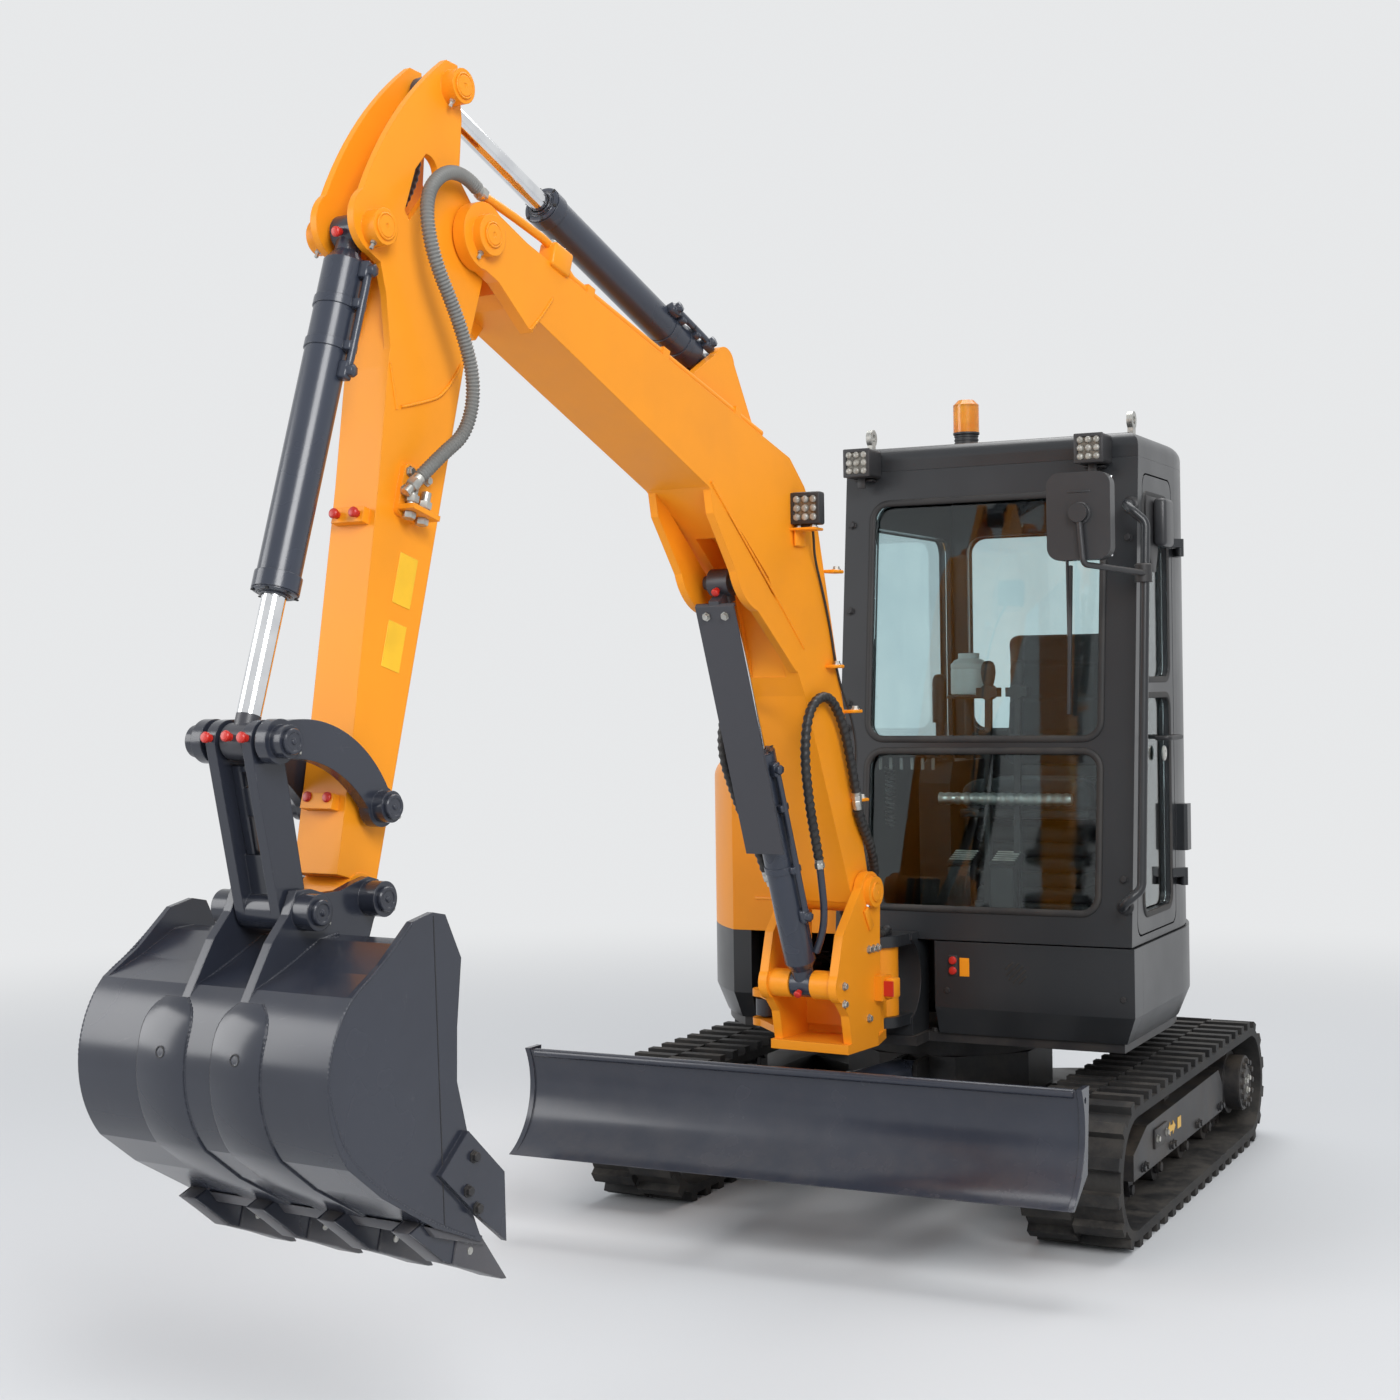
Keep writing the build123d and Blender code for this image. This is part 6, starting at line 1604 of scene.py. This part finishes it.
strap_place, strap_width = 0.103, 0.132
straps = []
for middle in (-strap_place, strap_place):
    straps.append(strap(middle, strap_width / 2, 0.0045))
    for side in (-1, 1):
        edge_points = [bucket_frame(x, y, middle + side * (strap_half(k, strap_width / 2) + 0.0015))
                       for k, (x, y) in enumerate(strap_line) if k < 5 or k % 3 == 0]
        straps.append(bead(edge_points, 0.0026, bucket_paint))
x, y = back_line[9]
out = bucket_frame(x + 0.9848, y + 0.1736, 0) - bucket_frame(x, y, 0)
# a raised cup with a real recess; its darker frame paint is painted shade in the hole
hole_shade_cup = turned([(0.0125, 0.0), (0.0125, 0.0052), (0.0105, 0.0006), (0.0095, -0.0045), (0.004, 0.0)],
              frame_paint, 24)
straps += copied(hole_shade_cup,
                 [facing_along(bucket_frame(x, y, middle), out) for middle in (-strap_place, strap_place)])
settle(straps, "bucket_straps", "bucket", smooth=50)

# %% Welds round the hanger ears and along the side plates, and painted shade along the side plate's crease
beads = []
for hand in (-1, 1):
    for left in (0.0705, 0.0915):
        beads.append(bead([bucket_frame(s, a, hand * left)
                           for s, a in ((0.104, -0.060), (0.160, -0.062), (0.256, -0.104), (0.340, -0.132),
                                        (0.386, -0.196))], 0.0040, bucket_paint))
    side_line = [(0.165, -0.018), (0.262, -0.090)] + back_line[:16:4] + [(0.376, -0.462), (0.130, -0.638),
                                                                         (0.012, -0.692)]
    beads.append(bead([bucket_frame(x, y, hand * 0.3435) for x, y in side_line], 0.0030, bucket_paint))
    # along the side plate's crease a thin raised bead in the darker frame paint is painted shade
    crease_shade_line = corner_line((0.098, -0.012, 0), (0.106, -0.642, 0))
    beads.append(bead([bucket_frame(p.x, p.y, hand * 0.3446) for p in crease_shade_line], 0.0016, frame_paint))
settle(beads, "bucket_welds", "bucket", smooth=60)

# %% The web of the H-shaped link, with its slot and its window
link_low, link_high = boom_point(*pins["hanger"]), boom_point(*pins["knuckle"])
link_run = (link_high - link_low).normalized()
web = []
for middle, length, left, width in ((0.213, 0.190, -0.025, 0.027), (0.213, 0.190, 0.025, 0.027),
                                    (0.231, 0.062, 0.0, 0.030), (0.301, 0.014, 0.0, 0.030)):
    bar = block((length, width, 0.018), bucket_paint, 0.003)
    web.append(put(bar, frame_at(link_low + link_run * middle + leftward * left, link_run, leftward)))
settle(web, "h_link_web", "h_link")

# %% Lip plate, tooth caps with their pins, and the side cutters' bolts
lip = plate([(0.150, -0.634), (0.128, -0.662), (-0.030, -0.722), (-0.022, -0.700)], tooth_steel, 0.676, 0.002)
base = bucket_frame(0, 0, 0.338)
x_dir = bucket_frame(1, 0, 0) - bucket_frame(0, 0, 0)
y_dir = bucket_frame(0, 1, 0) - bucket_frame(0, 0, 0)
put(lip, frame_at(base, x_dir, y_dir))
teeth = [lip]
bucket_half, end_tooth, teeth_count = 0.345, 0.045, 4
pitch = (2 * bucket_half - 2 * end_tooth) / (teeth_count - 1)
for n in range(teeth_count):
    left = -bucket_half + end_tooth + n * pitch
    cap = plate([(0.066, -0.737), (0.044, -0.672), (-0.018, -0.686), (-0.110, -0.816), (-0.092, -0.812),
                 (-0.020, -0.776)], tooth_steel, 0.062, 0.003)
    teeth.append(put(cap, frame_at(bucket_frame(0, 0, left + 0.031), x_dir, y_dir)))
    shank = plate([(0.192, -0.640), (0.150, -0.626), (0.040, -0.680), (0.052, -0.728), (0.092, -0.728)],
                  tooth_steel, 0.044, 0.004)
    teeth.append(put(shank, frame_at(bucket_frame(0, 0, left + 0.022), x_dir, y_dir)))
    for hand in (-1, 1):
        pin = turned([(0.0085, 0.0), (0.0085, 0.003), (0.0065, 0.001), (0.003, -0.001)], zinc, 16)
        teeth.append(put(pin,
                         facing_along(bucket_frame(0.012, -0.722, left + hand * 0.030), leftward * hand)))
settle(teeth, "bucket_teeth", "bucket")
cutter_bolts = [facing_along(bucket_frame(x, y, hand * 0.359), leftward * hand)
                for hand in (-1, 1) for x, y in ((0.020, -0.520), (0.045, -0.585), (0.018, -0.628))]
settle(copies_of(dark_bolt, cutter_bolts), "side_cutter_bolts", "bucket")

# %% The pipe along the blade's top
top_pipe = turned([(0.012, 0.0), (0.013, 0.003), (0.013, 1.684), (0.012, 0.003)], bucket_paint, 20)
put(top_pipe, facing_along((-0.845, slew_y - 1.368, 0.548), (1, 0, 0)))
settle(top_pipe, "blade_top_pipe", "blade", smooth=50)

# %% [markdown]
# ## The body's panels
# The skirts and hoods carry small things: a pair of red switches with a plate
# beside them, slanted vents, louvres at the side and rear, a latch, reflectors
# and a filler cap. The slots of the vents and louvres are painted shade:
# near-black inlays a hair above the panel, standing in for openings.

# %% Front skirt: switches, plate, and slanted vents drawn as painted shade
front_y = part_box("front_skirt")[0].y
front_parts = []
pad = block((0.030, 0.064, 0.004), black_plastic, 0.006)
front_parts.append(put(pad, frame_at((0.251, front_y - 0.001, 0.779), (1, 0, 0), up)))
button = turned([(0.0125, 0.0), (0.0125, 0.006), (0.0105, 0.003), (0.005, 0.001)], red_plastic, 20)
front_parts += copied(button, [facing_along((0.251, front_y - 0.002, z), (0, -1, 0)) for z in (0.795, 0.763)])
label = block((0.032, 0.058, 0.0024), orange_paint, 0.001, 1)
front_parts.append(put(label, frame_at((0.288, front_y - 0.001, 0.775), (1, 0, 0), up)))
# each vent's slot is a near-black inlay: painted shade where an opening would be
for k in range(5):
    length = (0.034, 0.058, 0.066, 0.058, 0.034)[k]
    slot = block((length, 0.0065, 0.003), rubber_and_recess_shade, 0.0014, 1)
    at = Vector((0.455 + (k - 2) * 0.0105, front_y - 0.0005, 0.765 - (k - 2) * 0.0105))
    front_parts.append(put(slot, frame_at(at, (1, 0, 1), (-1, 0, 1))))
settle(front_parts, "front_skirt_details", "upper")


# %% Louvres on the round side and the tail, drawn as strips of painted shade
louvre_pitch = 0.030


def on_tail(angle, height, out=0.0, radius=0.800):
    """A place on the round tail: degrees from straight back, towards the right."""
    a = radians(angle)
    return Vector((-(radius + out) * sin(a), slew_y + (radius + out) * cos(a), height))


def tail_frame(angle, height, out=0.0):
    """A placing matrix on the tail, with its z outwards."""
    a = radians(angle)
    outward = Vector((-sin(a), cos(a), 0))
    return frame_at(on_tail(angle, height, out), up.cross(outward), up)


louvre_shade_strips = []
# each louvre's slot is a near-black strip a hair above the hood: painted shade, not an opening
for angle in (64, 74, 84, 94, 104):
    for row in range(7):
        shade_strip = block((0.110, 0.010, 0.006), rubber_and_recess_shade, 0.0025, 1)
        louvre_shade_strips.append(put(shade_strip, tail_frame(angle, 1.060 + louvre_pitch * row, 0.0005)))
settle(louvre_shade_strips, "side_louvre_shade", "upper")
tail_parts = []
# the rear louvres' slots are strips of painted shade as well; the latch and its key are real parts
for angle in (-24, -12, 0, 12, 24):
    for row in range(5):
        shade_strip = block((0.120, 0.010, 0.006), rubber_and_recess_shade, 0.0025, 1)
        tail_parts.append(put(shade_strip, tail_frame(angle, 1.000 + louvre_pitch * row, 0.0005)))
latch = block((0.110, 0.070, 0.010), black_plastic, 0.010)
tail_parts.append(put(latch, tail_frame(0, 0.915, 0.003)))
key = turned([(0.014, 0.0), (0.014, 0.007), (0.012, 0.001), (0.004, -0.002)], zinc, 20)
tail_parts.append(put(key, facing_along(on_tail(0, 0.915, 0.007), (0, 1, 0))))
settle(tail_parts, "rear_hood_louvre_shade_and_latch", "rear_hood")
weight_parts = []
for angle in (-40, 40):
    lens = block((0.090, 0.040, 0.008), red_plastic, 0.004)
    weight_parts.append(put(lens, tail_frame(angle, 0.780, 0.000)))
for angle in (-14, 14):
    ring = turned([(0.034, 0.0), (0.034, 0.004), (0.030, 0.001), (0.026, -0.004), (0.010, -0.001)],
                  frame_paint, 28)
    weight_parts.append(put(ring, tail_frame(angle, 0.740, -0.001)))
settle(weight_parts, "counterweight_details", "upper")
cap = turned([(0.046, 0.0), (0.046, 0.012), (0.042, 0.003), (0.040, 0.010), (0.030, 0.002), (0.012, 0.0)],
             black_plastic, 28)
put(cap, moved(-0.420, slew_y - 0.300, 1.419))
hood_grip = block((0.016, 0.130, 0.016), black_plastic, 0.007)
put(hood_grip, moved(-0.500, slew_y - 0.050, 1.424))
groove = block((0.200, 0.010, 0.006), orange_paint, 0.004)
front_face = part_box("side_hood")[0].y
ridge_low = put(groove, frame_at((-0.360, front_face - 0.0005, 0.960), (1, 0, 0), up))
settle([cap, hood_grip, ridge_low], "side_hood_details", "upper")

# %% Bolts of the deck, and the head of the swing pin
deck_bolts = [facing_along((x, slew_y - 0.600, 0.5605), up) for x in (-0.200, -0.120, 0.170, 0.240)]
settle(copies_of(dark_bolt, deck_bolts), "deck_bolts", "upper")
collar = turned([(0.052, 0.0), (0.052, 0.010), (0.046, 0.004), (0.034, 0.0), (0.033, -0.003), (0.010, 0.0)],
                frame_paint, 36)
put(collar, Matrix.Translation((swing_axis.x, swing_axis.y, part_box("swing_post")[1].z)))
settle(collar, "swing_pin_head", "upper")

# %% [markdown]
# ## The undercarriage
# The travel motor's cover has a bolt ring and plugs. The side frames show the
# rollers' axle ends, a grease hatch, and two blank yellow markers.

# %% Motor covers, axle ends, hatches and markers
cover_parts, axle_parts = [], []
axle_z = 0.218
frame_middle, frame_half = 0.722, 0.088           # of a side frame, across the machine
hatch_y, hatch_z = slew_y - 0.330, 0.232
for hand in (-1, 1):
    out = Vector((hand, 0, 0))
    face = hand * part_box("travel_motors")[1].x
    centre = Vector((face, slew_y + 0.727, axle_z))
    cover = turned([(0.0955, -0.004), (0.0955, 0.003), (0.090, 0.003), (0.062, 0.0), (0.058, 0.003),
                    (0.050, 0.004), (0.046, -0.003), (0.012, 0.0)], frame_paint, 40)
    cover_parts.append(put(cover, facing_along(centre, out)))
    ring = []
    for k in range(12):
        a = 2 * pi * k / 12
        ring.append(facing_along(centre + Vector((hand * 0.005, 0.076 * cos(a), 0.076 * sin(a))), out))
    cover_parts += copies_of(dark_bolt, ring)
    plug_places = [facing_along(centre + Vector((hand * 0.009, 0.026 * cos(a), 0.026 * sin(a))), out)
                   for a in (0.6, 2.7, 4.8)]
    cover_parts += copies_of(bolt, plug_places)
    frame_face = hand * (frame_middle + frame_half)
    for y in (-0.521, -0.174, 0.173, 0.500):
        axle = facing_along((frame_face, slew_y + y, 0.172), out)
        axle_parts += copies_of(dark_bolt, [axle @ moved(dx, 0, 0) for dx in (-0.020, 0.020)])
    hatch = block((0.150, 0.062, 0.008), frame_paint, 0.006)
    axle_parts.append(put(hatch, frame_at((frame_face + hand * 0.003, hatch_y, hatch_z), (0, hand, 0), up)))
    hatch_bolts = [facing_along((frame_face + hand * 0.006, hatch_y + dy, hatch_z), out)
                   for dy in (-0.055, 0.055)]
    axle_parts += copies_of(bolt, hatch_bolts)
    for points, y in (([(-0.048, 0.0), (-0.018, 0.022), (-0.018, 0.010), (0.018, 0.010), (0.018, 0.022),
                        (0.048, 0.0),
                        (0.018, -0.022), (0.018, -0.010), (-0.018, -0.010), (-0.018, -0.022)], -0.180),
                      ([(-0.022, 0.018), (0.022, 0.018), (0.022, -0.018), (-0.022, -0.018)], -0.080)):
        marker = plate(points, yellow_sticker, 0.0012)
        axle_parts.append(put(marker,
                              frame_at((frame_face + hand * 0.0002, slew_y + y, 0.226), (0, hand, 0), up)))
settle(cover_parts, "motor_covers", "undercarriage")
settle(axle_parts, "side_frame_details", "undercarriage")

# %% Clear the bench
for pattern in patterns:
    bpy.data.objects.remove(pattern)

# %% [markdown]
# ## The last measurements
# The dressed machine's size is printed beside the CAD model's.

# %% Measure and finish
low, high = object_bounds()
print("visual size", [round(v, 3) for v in high - low], "of", [round(v, 3) for v in cad_high - cad_low])
